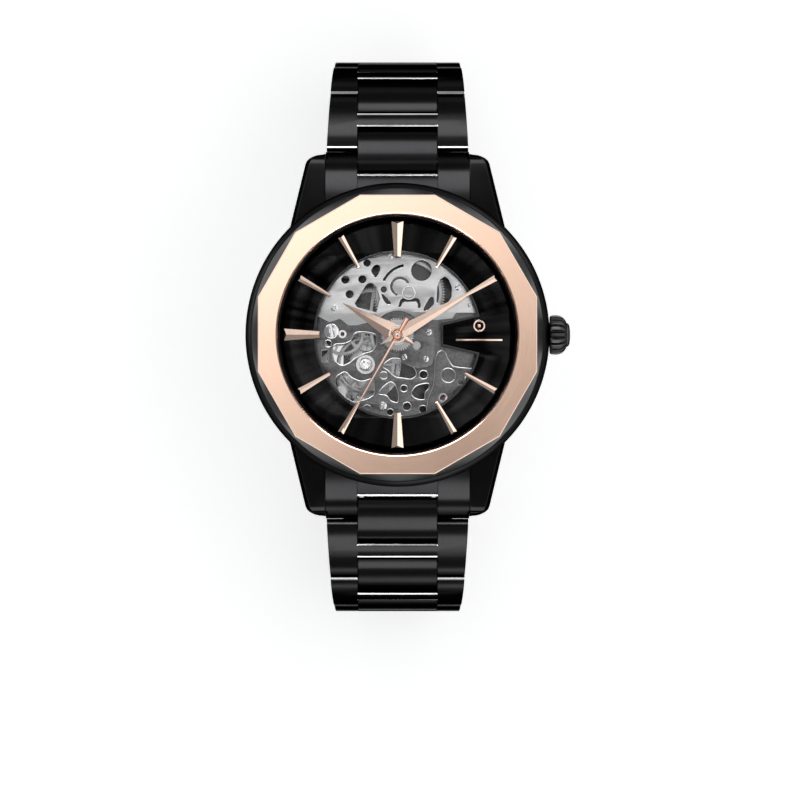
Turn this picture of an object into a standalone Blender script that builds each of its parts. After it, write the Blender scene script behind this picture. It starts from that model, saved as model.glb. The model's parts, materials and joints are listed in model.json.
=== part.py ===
"""Skeleton wristwatch, its bracelet closed and standing on the folding clasp.

Metres, +Z out of the dial, +Y to twelve o'clock, +X to the crown. The origin is on the clasp's
flat underside, below the centre of the dial. Lengths below are in millimetres, turned into
metres where each mesh is made. Heights named *_W are measured up from the case back.
"""

import math

import bmesh
import bpy
from mathutils import Vector
from mathutils.geometry import tessellate_polygon

MM = 0.001
SMOOTH_ANGLE = math.radians(35)
LARGE_ROUND = 48  # sides of a turned piece
BACK_ROUND = 32
ROUND = 24
SMALL_ROUND = 16
PIVOT_ROUND = 10
LINK_END_STEPS = 6
TINY_ROUND = 8
FIT = 0.05  # gap between faces that rest on each other
CUT_MARGIN = 1.0  # how far a cutting shape reaches past what it cuts

# Bracelet: pins, links and the way the closed loop hangs
PIN_Y = 24.0
PIN_W = 2.6
CASE_BACK_Z = 34.9
PIN_RADIUS = 0.5
PIN_HOLE_RADIUS = 0.57
CENTRE_PITCH = 3.2
OUTER_PITCH = 5.3
OUTER_THICKNESS = 3.0
CENTRE_THICKNESS = 2.9
CENTRE_HALF_WIDTH = 5.5
NOTCH_HALF_WIDTH = 5.6
BAR_LENGTH = 2.1
BAR_THICKNESS = 2.84
LUG_WIDTH = 19.9
CLASP_WIDTH = 16.0
TAPER_PER_MM = 0.108
LINK_TILTS = (18, 26, 43, 60, 76, 88, 94, 108, 122, 138, 154, 168)  # degrees below level, case to clasp

# Case
CASE_RADIUS = 21.0
CASE_BORE = 17.2
CHAMFER_RADIUS = 20.26
CASE_BOTTOM_W = 1.0
CASE_FOOT_RADIUS = 20.3
CASE_WALL_W = 2.2
STEM_BORE_GAP = 0.08
STEM_BORE_X = (15.0, 23.0)
CASE_SHOULDER_W = 7.5
CHAMFER_W = 8.4
FLANK_TOP_W = 10.3
COLLAR_RADIUS = 18.6
LEDGE_RADIUS = 16.2
LEDGE_W = 8.5
BEZEL_SIDES = 12
BEZEL_FLAT = 19.15  # centre to a flat of the twelve-sided plate
BEZEL_OPENING = 16.5
BEZEL_TOP_W = 11.5
CRYSTAL_RADIUS = 16.42
CRYSTAL_TOP_W = 11.3
LUG_INNER_X = 10.0
LUG_ROOT = (14.6, 14.95)  # y, outer x
LUG_TIP = (25.15, 12.46)
LUG_SIDE = ((14.6, 1.2), (20.0, 1.0), (24.2, 0.5), (24.9, 0.8), (25.15, 1.5),
            (25.15, 2.7), (24.7, 3.8), (22.5, 5.3), (19.5, 6.6), (14.6, 7.4))
END_LINK_HALF_WIDTH = 9.92
END_LINK_ARC = 21.12
END_LINK_NOTCH_Y = 22.4
END_LINK_TOP = ((24.0, 4.1), (20.6, 5.2), (17.8, 5.8))
END_LINK_BOTTOM = ((17.8, 1.3), (24.0, 1.1))

# Case back; profiles are radius and height
BACK_RING = ((14.2, 0.0), (18.9, 0.0), (19.6, 0.5), (19.6, 0.94), (17.1, 0.94), (17.1, 2.6),
             (16.0, 2.6), (16.0, 0.9), (14.2, 0.9))
BACK_WINDOW_RADIUS = 15.8
BACK_WINDOW_W = (0.95, 1.5)
HOLDER_BORE = 1.0
HOLDER_BORE_X = (11.0, 18.0)

# Dial and hands
DIAL_RADIUS = 17.0
DIAL_W = (8.0, 8.4)
DIAL_OPENING = 11.24
TAB_HALF_ANGLE = math.radians(14)
TAB_INNER_X = 5.97
TAB_HALF_WIDTH = 1.6
BATON_INNER = 10.7
BATON_OUTER = 15.65
BATON_TOP_W = 8.75
QUARTER_BATON = (0.475, 0.85)  # half widths, inner and outer
HOUR_BATON = (0.2, 0.45)
HOUR_HAND = dict(tip=8.85, tail=2.8, wide_at=1.2, half_width=1.15, clock=-60, low=8.85, high=9.1)
MINUTE_HAND = dict(tip=13.8, tail=2.8, wide_at=1.4, half_width=0.85, clock=60, low=9.3, high=9.52)
HUB_WALL = 0.35
HAND_FITS = {"hour_hand": 0.86, "minute_hand": 0.36}  # hub hole radii
SECONDS_HAND = dict(tip=14.9, tail=2.6, half_width=0.13, tail_half_width=0.2, clock=209.7, low=9.72,
                    high=9.86)

# Movement: levels from the case back, then places and radii seen from the dial side
ROTOR_W = (1.8, 2.2, 2.6)
BRIDGE_W = (2.8, 3.6)
THIRD_WHEEL_W = (3.8, 4.0)
HAIRSPRING_W = (3.75, 3.95)
BALANCE_W = (4.1, 4.45)
PALLET_BRIDGE_W = (4.6, 4.8)
BARREL_W = (4.2, 5.4)
ESCAPE_W = (5.0, 5.2)
PALLET_W = (5.0, 5.22)
FOURTH_WHEEL_W = (5.3, 5.48)
CENTRE_WHEEL_W = (5.6, 5.8)
PLATE_W = (6.1, 7.0)
MINUTE_WHEEL_W = (7.1, 7.3)
HOUR_WHEEL_W = (7.4, 7.6)
PLATE_RADIUS = 12.9
HOLDER_RADII = (13.1, 17.1)
HOLDER_W = (2.9, 7.9)
BARREL_AT = (1.575, 5.8)
THIRD_AT = (-3.77, 2.64)
FOURTH_AT = (-7.61, 0.10)
ESCAPE_AT = (-4.3, -1.2)
PALLET_AT = (-2.92, -2.51)
BALANCE_AT = (-4.42, -4.12)
MINUTE_WHEEL_AT = (2.6, -1.5)
RIM_GAP = 0.04  # each wheel is a smooth disc this much inside its pitch circle
BARREL_RADIUS = 5.15
CENTRE_PINION = 0.858
CENTRE_WHEEL = 4.09
THIRD_PINION = 0.511
THIRD_WHEEL = 4.06
SWEEP_PINION = 0.541
FOURTH_PINION = 0.541
FOURTH_WHEEL = 3.2
ESCAPE_PINION = 0.355
ESCAPE_WHEEL = 1.42
BALANCE_RADII = (3.45, 4.1)
BALANCE_BAY = 4.9  # the train bridge is cut back this far around the balance
CANNON_RADIUS = 0.75
MINUTE_WHEEL = 2.25
MINUTE_PINION = 0.6
HOUR_WHEEL = 2.4
ROTOR_RADII = (10.3, 12.9)
STEM_W = 5.35
STEM_RADIUS = 0.5
CROWN_X = (21.1, 23.35, 23.9)
CROWN_RADII = (2.75, 2.58, 1.65)
CROWN_FLUTES = 18
CROWN_SOCKET_DEPTH = 1.2
STEM_END = 1.1  # how far the stem reaches into the crown
STEM_STEPS = ((0, 6.4), (0.32, 6.4), (STEM_RADIUS, 6.7), (STEM_RADIUS, 8.0), (0.25, 8.0), (0.25, 8.4),
              (STEM_RADIUS, 8.4))
LEVER_OUTLINE = ((7.0, -1.05), (9.4, -1.05), (9.4, -0.75), (8.34, -0.75), (8.34, -0.34), (8.06, -0.34),
                 (8.06, -0.75), (7.0, -0.75))
LEVER_HALF_WIDTH = 0.6

# Plates and bridges: openings are x, y, radius
BALANCE_HOLE = 1.5
PLATE_ARBOR_HOLE = 0.3
PLATE_OPENINGS = ((3.3, 8.8, 1.5), (-3.7, 10.0, 1.0), (-6.3, 5.5, 0.9), (3.7, -5.6, 0.8), (7.0, -5.5, 1.0),
                  (0.7, -6.9, 0.8), (8.4, 2.2, 0.9), (-10.2, -3.0, 0.7))
BARREL_ARBOR_HOLE = 0.7
CENTRE_HOLE = 0.62
MINUTE_ARBOR_HOLE = 0.25
BRIDGE_RADIUS = 12.6
BRIDGE_PIVOT_HOLE = 0.22
BRIDGE_OPENINGS = ((6.5, -4.5, 0.9), (5.5, -8.0, 1.3), (8.6, 1.0, 1.2))
BRIDGE_FEET = ((9.6, 6.6), (9.2, -6.2), (-7.2, 8.6))
BRIDGE_FOOT = 0.8
FOOT_OVERLAP = 0.2
ROTOR_AXLE = (0.25, 0.78)
ROTOR_AXLE_LOW = 1.78
BAY_REACH = 10.0
COCK_HEAD = 1.4
COCK_SHOULDER = 1.1
COCK_ARC_RADIUS = 12.5
COCK_ARC = (236, 214)  # degrees
COCK_PIVOT_HOLE = 0.24
COCK_FOOT = 0.85
COCK_FOOT_REACH = 11.2
COCK_FOOT_ANGLE = 225
PALLET_BRIDGE_OUTLINE = ((-6.4, -3.7), (-5.6, -3.9), (-4.4, -3.3), (-2.7, -3.1), (-2.3, -2.5), (-2.7, -1.9),
                         (-3.6, -0.7), (-4.5, -0.6), (-5.0, -1.1), (-6.4, -3.0))
PALLET_BRIDGE_HOLE = 0.2
PALLET_BRIDGE_FOOT = 0.36
PALLET_BRIDGE_FOOT_AT = (-5.9, -3.4)

# Arbors of the train: each step is radius, bottom, top
BARREL_ARBOR = ((0.6, 2.95, 4.1), (4.7, *BARREL_W), (0.6, 5.5, 6.9))
BARREL_RIM_W = (4.9, 5.3)
THIRD_ARBOR = ((0.15, 3.0, 3.7), (0.4, 3.7, 3.8), (THIRD_WHEEL - RIM_GAP, *THIRD_WHEEL_W), (0.3, 4.1, 5.5),
               (THIRD_PINION - RIM_GAP, 5.55, 5.85), (0.15, 5.9, 6.8))
FOURTH_ARBOR = ((0.15, 3.0, 3.74), (FOURTH_PINION - RIM_GAP, 3.76, 4.1), (0.3, 4.2, 5.25),
                (FOURTH_WHEEL - RIM_GAP, *FOURTH_WHEEL_W), (0.15, 5.55, 6.8))
ESCAPE_ARBOR = ((0.12, 4.65, 4.9), (ESCAPE_WHEEL, *ESCAPE_W), (ESCAPE_PINION - RIM_GAP, 5.25, 5.85),
                (0.12, 5.95, 6.8))
MINUTE_ARBOR = ((0.18, 6.4, 7.05), (MINUTE_WHEEL - RIM_GAP, *MINUTE_WHEEL_W),
                (MINUTE_PINION - RIM_GAP, 7.35, 7.75))
SWEEP_ARBOR = ((0.12, 3.65, 3.76), (SWEEP_PINION - RIM_GAP, 3.76, 4.08),
               (0.14, 4.08, SECONDS_HAND["low"] - 0.1),
               (0.55, SECONDS_HAND["low"] - 0.1, SECONDS_HAND["high"] + 0.12))
PALLET_STAFF = ((0.12, 4.65, 4.9), (0.22, 4.9, 5.4), (0.12, 5.4, 6.8))
BALANCE_STAFF = ((0.14, 2.95, 3.7), (0.3, 3.98, 4.55), (0.2, 4.55, 5.3), (0.5, 5.3, 5.5), (0.14, 5.5, 6.8))

# Hollow arbors on the watch's axis: radius and height round the profile
CENTRE_PROFILE = ((0.18, 4.3), (CENTRE_PINION - RIM_GAP, 4.3), (CENTRE_PINION - RIM_GAP, 5.5), (0.5, 5.5),
                  (0.5, CENTRE_WHEEL_W[0]), (CENTRE_WHEEL - RIM_GAP, CENTRE_WHEEL_W[0]),
                  (CENTRE_WHEEL - RIM_GAP, CENTRE_WHEEL_W[1]), (0.34, CENTRE_WHEEL_W[1]), (0.34, 7.5), (0.18, 7.5))
CANNON_PROFILE = ((0.4, 7.05), (CANNON_RADIUS - RIM_GAP, 7.05), (CANNON_RADIUS - RIM_GAP, 7.35),
                  (0.5, 7.35), (0.5, 9.2), (0.31, 9.2), (0.31, 9.6), (0.2, 9.6), (0.2, 7.55), (0.4, 7.55))
HOUR_PROFILE = ((0.56, HOUR_WHEEL_W[0]), (HOUR_WHEEL - RIM_GAP, HOUR_WHEEL_W[0]),
                (HOUR_WHEEL - RIM_GAP, HOUR_WHEEL_W[1]), (0.82, HOUR_WHEEL_W[1]), (0.82, 9.15), (0.56, 9.15))

# Escapement: the fork is drawn along and across its lever
FORK_OUTLINE = ((-0.35, -0.3), (0.0, -0.35), (1.15, -0.12), (1.25, -0.2), (1.25, 0.2), (1.15, 0.12),
                (0.3, 0.3))
PALLET_ARM = ((0.1, -0.2), (1.0, -0.12), (1.0, 0.12), (0.1, 0.2))
PALLET_ARM_TURN = 1.15  # radians from the line to the escape wheel
PALLET_ARM_INSET = 0.02
BALANCE_ARMS = 3
BALANCE_ARM_SPREAD = 0.14  # radians
BALANCE_HUB = 0.9
BALANCE_HUB_SPREAD = 0.3
HAIRSPRING = dict(turns=3.5, start=0.55, pitch=0.5, half_strip=0.05, per_turn=12)
ROTOR_HUB = ((2.2, 0.4), (1.6, 1.4), (0.0, 1.9), (-1.6, 1.4), (-2.2, 0.4))
ROTOR_BORE = 0.88

# Clasp: a cover and two blades folded on each other
COVER_Y = (-19.8, 19.4)
COVER_FLOOR = 0.65
COVER_WALL_TOP = 3.3
COVER_WALL_X = (6.95, 8.0)
COVER_HINGE = (-19.0, 1.3)
BLADE_HINGE = (17.5, 2.3)
BLADE_HALF_WIDTH = 6.4
EAR_X = (5.2, 6.4)
INNER_BLADE_HALF_WIDTH = 5.0
CLASP_PIN_RADIUS = 0.35
CLASP_HOLE_RADIUS = 0.42
BUTTON_Y = (6.6, 9.4)
BUTTON_Z = (1.2, 2.8)
BUTTON_X = (7.0, 8.6)
BUTTON_GAP = 0.1
BUTTON_GAP_BELOW = 0.12
PIN_OVERLAP = 0.3  # how far a fused pin runs into the part that holds it
OUTER_BLADE_Z = (0.85, 1.65)
INNER_BLADE_Z = (2.05, 2.75)
OUTER_EYE = 0.6
INNER_EYE = 0.62
EAR_RADIUS = 0.65


def clear_scene():
    for thing in list(bpy.data.objects):
        bpy.data.objects.remove(thing)


def material(name, colour, roughness, metallic, alpha=1.0):
    made = bpy.data.materials.new(name)
    made.use_nodes = True
    shader = made.node_tree.nodes["Principled BSDF"]
    shader.inputs["Base Color"].default_value = (*colour, 1.0)
    shader.inputs["Roughness"].default_value = roughness
    shader.inputs["Metallic"].default_value = metallic
    shader.inputs["Alpha"].default_value = alpha
    return made


def black_steel(name):
    return material(name, (0.012, 0.012, 0.013), 0.28, 1.0)


def rose_gold(name):
    return material(name, (0.86, 0.58, 0.44), 0.22, 1.0)


def grey_steel(name):
    return material(name, (0.42, 0.42, 0.43), 0.32, 1.0)


def train_silver(name):
    return material(name, (0.58, 0.58, 0.58), 0.3, 1.0)


def add(name, mesh_data, finish, place=(0.0, 0.0, 0.0), turn=(0.0, 0.0, 0.0)):
    """An object from millimetre points and faces, at a place in millimetres, with its faces outwards."""
    points, faces = mesh_data
    mesh = bpy.data.meshes.new(name)
    mesh.from_pydata([Vector(p) * MM for p in points], [], faces)
    build = bmesh.new()
    build.from_mesh(mesh)
    bmesh.ops.recalc_face_normals(build, faces=build.faces)
    build.to_mesh(mesh)
    build.free()
    mesh.shade_smooth()
    mesh.set_sharp_from_angle(angle=SMOOTH_ANGLE)
    mesh.materials.append(finish(name))
    made = bpy.data.objects.new(name, mesh)
    made.location = Vector(place) * MM
    made.rotation_euler = turn
    bpy.context.scene.collection.objects.link(made)
    return made


def combine(target, other, operation="UNION"):
    """Adds or cuts another shape, which stays behind as a hidden helper."""
    other.hide_render = True
    other.display_type = "WIRE"
    step = target.modifiers.new(other.name, "BOOLEAN")
    step.operation = operation
    step.object = other


def cut(target, other):
    combine(target, other, "DIFFERENCE")


def circle(radius, sides, centre=(0.0, 0.0), start=0.0):
    step = 2 * math.pi / sides
    return [(centre[0] + radius * math.cos(start + step * i), centre[1] + radius * math.sin(start + step * i))
            for i in range(sides)]


def arc(radius, first, last, steps, centre=(0.0, 0.0)):
    angles = [first + (last - first) * i / steps for i in range(steps + 1)]
    return [(centre[0] + radius * math.cos(a), centre[1] + radius * math.sin(a)) for a in angles]


def along_z(a, b, height):
    return (a, b, height)


def along_x(a, b, height):
    return (height, a, b)


def along_y(a, b, height):
    return (a, height, b)


def plate(loops, low, high, stand=along_z):
    """An outline with holes, made solid between two heights."""
    flat = [point for loop in loops for point in loop]
    count = len(flat)
    points = [stand(a, b, low) for a, b in flat] + [stand(a, b, high) for a, b in flat]
    caps = tessellate_polygon([[Vector((a, b, 0.0)) for a, b in loop] for loop in loops])
    faces = [tuple(cap) for cap in caps] + [tuple(i + count for i in cap) for cap in caps]
    first = 0
    for loop in loops:
        for i in range(len(loop)):
            one = first + i
            two = first + (i + 1) % len(loop)
            faces.append((one, two, two + count, one + count))
        first += len(loop)
    return points, faces


def turned(profile, sides):
    """A closed profile of (radius, height) points turned about Z. Points at radius 0 are shared."""
    points = []
    rings = []
    for radius, height in profile:
        if radius == 0:
            rings.append([len(points)] * sides)
            points.append((0.0, 0.0, height))
            continue
        rings.append(list(range(len(points), len(points) + sides)))
        points += [(a, b, height) for a, b in circle(radius, sides)]
    faces = []
    for ring, following in zip(rings, rings[1:] + rings[:1]):
        for i in range(sides):
            j = (i + 1) % sides
            corners = list(dict.fromkeys((ring[i], ring[j], following[j], following[i])))
            if len(corners) > 2:
                faces.append(tuple(corners))
    return points, faces


def gathered(*parts):
    """Several closed shapes as the points and faces of one mesh."""
    points = []
    faces = []
    for more_points, more_faces in parts:
        start = len(points)
        points += more_points
        faces += [tuple(i + start for i in face) for face in more_faces]
    return points, faces


def arbor(steps):
    """A stepped round profile on the axis, from (radius, low, high) stretches in order of height."""
    profile = [(0, steps[0][1])]
    for radius, low, high in steps:
        profile += [(radius, low), (radius, high)]
    profile.append((0, steps[-1][2]))
    return profile


def at_height(w):
    return CASE_BACK_Z + w


# ---------------------------------------------------------------- bracelet

def loop_pins(side):
    """Where each pin of one half of the loop lies, as (y, z), from the lugs to the clasp."""
    y, z = PIN_Y, at_height(PIN_W)
    pins = [(side * y, z)]
    for number, tilt in enumerate(LINK_TILTS):
        pitch = OUTER_PITCH if number % 2 else CENTRE_PITCH
        y += pitch * math.cos(math.radians(tilt))
        z -= pitch * math.sin(math.radians(tilt))
        pins.append((side * y, z))
    return pins


def width_at(run):
    """Width of the bracelet at a distance from the lug pins along the links."""
    return max(LUG_WIDTH - TAPER_PER_MM * run, CLASP_WIDTH)


def stadium(pitch, thickness, steps=LINK_END_STEPS):
    """A link's side outline: straight faces between two round ends centred on the pins."""
    radius = thickness / 2
    return (arc(radius, -math.pi / 2, math.pi / 2, steps, (pitch, 0.0))
            + arc(radius, math.pi / 2, 3 * math.pi / 2, steps))


def centre_link_mesh():
    outline = stadium(CENTRE_PITCH, CENTRE_THICKNESS)
    holes = [circle(PIN_HOLE_RADIUS, PIVOT_ROUND, (u, 0.0)) for u in (0.0, CENTRE_PITCH)]
    return plate([outline, *holes], -CENTRE_HALF_WIDTH, CENTRE_HALF_WIDTH, along_x)


def outer_link_mesh(near_width, far_width):
    """An H: two tapering side bars, the cross bar between them and the two pins."""
    outline = stadium(OUTER_PITCH, OUTER_THICKNESS)
    middle = OUTER_PITCH / 2
    corners = ((-1, -1), (1, -1), (1, 1), (-1, 1))
    bar = [(middle + a * BAR_LENGTH / 2, b * BAR_THICKNESS / 2) for a, b in corners]
    pins = [circle(PIN_RADIUS, 8, (u, 0.0)) for u in (0.0, OUTER_PITCH)]
    loops = [outline, bar, *pins]
    inner_flat = [point for loop in loops for point in loop]
    caps = tessellate_polygon([[Vector((a, b, 0.0)) for a, b in loop] for loop in loops])
    points = []
    faces = []
    for side in (-1, 1):
        start = len(points)
        points += [(side * NOTCH_HALF_WIDTH, a, b) for a, b in inner_flat]
        faces += [tuple(start + i for i in cap) for cap in caps]
        outer = len(points)
        for a, b in outline:
            share = (a + OUTER_THICKNESS / 2) / (OUTER_PITCH + OUTER_THICKNESS)
            width = near_width + (far_width - near_width) * share
            points.append((side * width / 2, a, b))
        count = len(outline)
        faces.append(tuple(range(outer, outer + count)))
        faces += [(start + i, start + (i + 1) % count, outer + (i + 1) % count, outer + i) for i in range(count)]
    across = len(inner_flat) + len(outline)
    first = len(outline)
    for loop in loops[1:]:
        for i in range(len(loop)):
            one = first + i
            two = first + (i + 1) % len(loop)
            faces.append((one, two, two + across, one + across))
        first += len(loop)
    return points, faces


def add_bracelet():
    """Six pairs of centre and outer links on each side, named by the hour they leave from."""
    for side, hour in ((1, "12"), (-1, "6")):
        run = 0.0
        heading = 0.0 if side > 0 else math.pi
        for number, (tilt, pin) in enumerate(zip(LINK_TILTS, loop_pins(side))):
            pair = number // 2 + 1
            turn = (-math.radians(tilt), 0.0, heading)
            if number % 2:
                reach = OUTER_THICKNESS / 2
                mesh = outer_link_mesh(width_at(run - reach), width_at(run + OUTER_PITCH + reach))
                add(f"outer_link_{hour}_{pair}", mesh, black_steel, (0.0, *pin), turn)
                run += OUTER_PITCH
            else:
                add(f"centre_link_{hour}_{pair}", centre_link_mesh(), black_steel, (0.0, *pin), turn)
                run += CENTRE_PITCH


def add_end_link(side, hour):
    """Fills the space between two lugs, with the notch and spring bar of the first centre link."""
    round_end = arc(OUTER_THICKNESS / 2, -math.pi / 2, math.pi / 2, 8, (PIN_Y, PIN_W))
    outline = [*END_LINK_BOTTOM, *round_end[1:-1], *END_LINK_TOP]
    body = plate([outline], -END_LINK_HALF_WIDTH, END_LINK_HALF_WIDTH, along_x)
    heading = 0.0 if side > 0 else math.pi
    place = (0.0, 0.0, CASE_BACK_Z)
    turn = (0.0, 0.0, heading)
    made = add(f"end_link_{hour}", body, black_steel, place, turn)
    seat = plate([circle(END_LINK_ARC, 2 * LARGE_ROUND)], -1.0, 9.0)
    cut(made, add(f"case_seat_{hour}", seat, black_steel, place, turn))
    notch = [(END_LINK_NOTCH_Y, -1.0), (27.0, -1.0), (27.0, 7.0), (END_LINK_NOTCH_Y, 7.0)]
    slot = plate([notch], -NOTCH_HALF_WIDTH, NOTCH_HALF_WIDTH, along_x)
    cut(made, add(f"link_notch_{hour}", slot, black_steel, place, turn))
    reach = NOTCH_HALF_WIDTH + CUT_MARGIN
    bar = plate([circle(PIN_RADIUS, TINY_ROUND, (PIN_Y, PIN_W))], -reach, reach, along_x)
    combine(made, add(f"spring_bar_{hour}", bar, black_steel, place, turn))


# ---------------------------------------------------------------- case

def lug_mesh(x_side, y_side):
    """One lug, its outer face drawing in towards the tip."""
    slope = (LUG_TIP[1] - LUG_ROOT[1]) / (LUG_TIP[0] - LUG_ROOT[0])
    points = [(x_side * LUG_INNER_X, y_side * y, w) for y, w in LUG_SIDE]
    points += [(x_side * (LUG_ROOT[1] + slope * (y - LUG_ROOT[0])), y_side * y, w) for y, w in LUG_SIDE]
    count = len(LUG_SIDE)
    faces = [tuple(range(count)), tuple(range(count, 2 * count))]
    faces += [(i, (i + 1) % count, count + (i + 1) % count, count + i) for i in range(count)]
    return points, faces


def twelve_sided(flat):
    """Corners of a twelve-sided outline with flats at the top, bottom and sides."""
    corner = flat / math.cos(math.pi / BEZEL_SIDES)
    return circle(corner, BEZEL_SIDES, start=math.pi / BEZEL_SIDES)


def add_mid_case():
    place = (0.0, 0.0, CASE_BACK_Z)
    ring = [(CASE_BORE, CASE_BOTTOM_W), (CASE_FOOT_RADIUS, CASE_BOTTOM_W), (CASE_RADIUS, CASE_WALL_W),
            (CASE_RADIUS, CASE_SHOULDER_W), (CHAMFER_RADIUS, CHAMFER_W), (COLLAR_RADIUS, CHAMFER_W),
            (COLLAR_RADIUS, FLANK_TOP_W), (LEDGE_RADIUS, FLANK_TOP_W), (LEDGE_RADIUS, LEDGE_W), (CASE_BORE, LEDGE_W)]
    made = add("mid_case", turned(ring, LARGE_ROUND), black_steel, place)
    lugs = gathered(*[lug_mesh(x, y) for x in (-1, 1) for y in (-1, 1)])
    combine(made, add("lugs", lugs, black_steel, place))
    low = twelve_sided(CHAMFER_RADIUS * math.cos(math.pi / BEZEL_SIDES) - 0.05)
    high = twelve_sided(BEZEL_FLAT)
    inner = circle(CASE_BORE + 0.4, ROUND)
    points, faces = plate([low, inner], CHAMFER_W - 0.2, FLANK_TOP_W)
    top_start = len(low) + len(inner)
    for i, (x, y) in enumerate(high):
        points[top_start + i] = (x, y, FLANK_TOP_W)
    combine(made, add("bezel_flank", (points, faces), black_steel, place))
    bore = plate([circle(STEM_RADIUS + STEM_BORE_GAP, PIVOT_ROUND, (0.0, STEM_W))], *STEM_BORE_X, along_x)
    cut(made, add("stem_bore", bore, black_steel, place))


def add_bezel_plate():
    outline = twelve_sided(BEZEL_FLAT)
    opening = circle(BEZEL_OPENING, LARGE_ROUND)
    mesh = plate([outline, opening], FLANK_TOP_W + FIT, BEZEL_TOP_W)
    add("bezel_plate", mesh, rose_gold, (0.0, 0.0, CASE_BACK_Z))


def add_case_back():
    place = (0.0, 0.0, CASE_BACK_Z)
    add("case_back", turned(BACK_RING, BACK_ROUND), grey_steel, place)
    low, high = BACK_WINDOW_W
    window = [(0, low), (BACK_WINDOW_RADIUS, low), (BACK_WINDOW_RADIUS, high), (0, high)]
    add("case_back_window", turned(window, BACK_ROUND), crystal_glass, place)
    holder = [(HOLDER_RADII[0], HOLDER_W[0]), (HOLDER_RADII[1], HOLDER_W[0]),
              (HOLDER_RADII[1], HOLDER_W[1]), (HOLDER_RADII[0], HOLDER_W[1])]
    made = add("movement_holder", turned(holder, BACK_ROUND), grey_steel, place)
    bore = plate([circle(HOLDER_BORE, PIVOT_ROUND, (0.0, STEM_W))], *HOLDER_BORE_X, along_x)
    cut(made, add("holder_bore", bore, grey_steel, place))


def crystal_glass(name):
    return material(name, (0.95, 0.96, 0.97), 0.02, 0.0, 0.2)


def add_crystal():
    glass = [(0, FLANK_TOP_W + FIT), (CRYSTAL_RADIUS, FLANK_TOP_W + FIT),
             (CRYSTAL_RADIUS, CRYSTAL_TOP_W - 0.2), (CRYSTAL_RADIUS - 0.25, CRYSTAL_TOP_W), (0, CRYSTAL_TOP_W)]
    add("crystal", turned(glass, LARGE_ROUND), crystal_glass, (0.0, 0.0, CASE_BACK_Z))


# ---------------------------------------------------------------- dial and hands

def baton_outline(hour):
    """Four corners of an hour marker that widens outwards."""
    inner, outer = QUARTER_BATON if hour % 3 == 0 else HOUR_BATON
    angle = math.pi / 2 - hour * math.pi / 6
    along = Vector((math.cos(angle), math.sin(angle)))
    across = Vector((-along.y, along.x))
    corners = ((BATON_INNER, -inner), (BATON_OUTER, -outer), (BATON_OUTER, outer), (BATON_INNER, inner))
    return [tuple(along * r + across * half) for r, half in corners]


def add_dial():
    """A disc open over the movement except for a tab at three o'clock, with eleven hour markers."""
    place = (0.0, 0.0, CASE_BACK_Z)
    opening = arc(DIAL_OPENING, TAB_HALF_ANGLE, 2 * math.pi - TAB_HALF_ANGLE, LARGE_ROUND - 8)
    opening += [(TAB_INNER_X, -TAB_HALF_WIDTH), (TAB_INNER_X, TAB_HALF_WIDTH)]
    made = add("dial", plate([circle(DIAL_RADIUS, LARGE_ROUND), opening], *DIAL_W), black_steel, place)
    batons = [plate([baton_outline(hour)], DIAL_W[1] - 0.1, BATON_TOP_W) for hour in range(1, 13) if hour != 3]
    combine(made, add("batons", gathered(*batons), rose_gold, place))


def hand_turn(clock):
    """Turns a hand built along +Y to its place on the dial, in degrees clockwise from twelve."""
    return (0.0, 0.0, -math.radians(clock))


def add_hands():
    place = (0.0, 0.0, CASE_BACK_Z)
    for name, size in (("hour_hand", HOUR_HAND), ("minute_hand", MINUTE_HAND)):
        outline = [(0.0, -size["tail"]), (size["half_width"], size["wide_at"]), (0.0, size["tip"]),
                   (-size["half_width"], size["wide_at"])]
        sheet = plate([outline], size["low"], size["high"])
        made = add(name, sheet, rose_gold, place, hand_turn(size["clock"]))
        hub = plate([circle(HAND_FITS[name] + HUB_WALL, SMALL_ROUND)], size["low"], size["high"])
        combine(made, add(f"{name}_hub", hub, rose_gold, place))
        low, high = size["low"] - CUT_MARGIN, size["high"] + CUT_MARGIN
        hole = plate([circle(HAND_FITS[name], SMALL_ROUND)], low, high)
        cut(made, add(f"{name}_hole", hole, rose_gold, place))
    size = SECONDS_HAND
    thin, wide = size["half_width"], size["tail_half_width"]
    outline = [(-wide, -size["tail"]), (wide, -size["tail"]), (thin, 0.0), (thin * 0.5, size["tip"]),
               (-thin * 0.5, size["tip"]), (-thin, 0.0)]
    made = add("seconds_hand", plate([outline], size["low"], size["high"]), rose_gold, place,
               hand_turn(size["clock"]))
    combine(made, add("sweep_arbor", turned(arbor(SWEEP_ARBOR), PIVOT_ROUND), rose_gold, place))


# ---------------------------------------------------------------- movement

def movement_place(at=(0.0, 0.0)):
    return (*at, CASE_BACK_Z)


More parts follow.
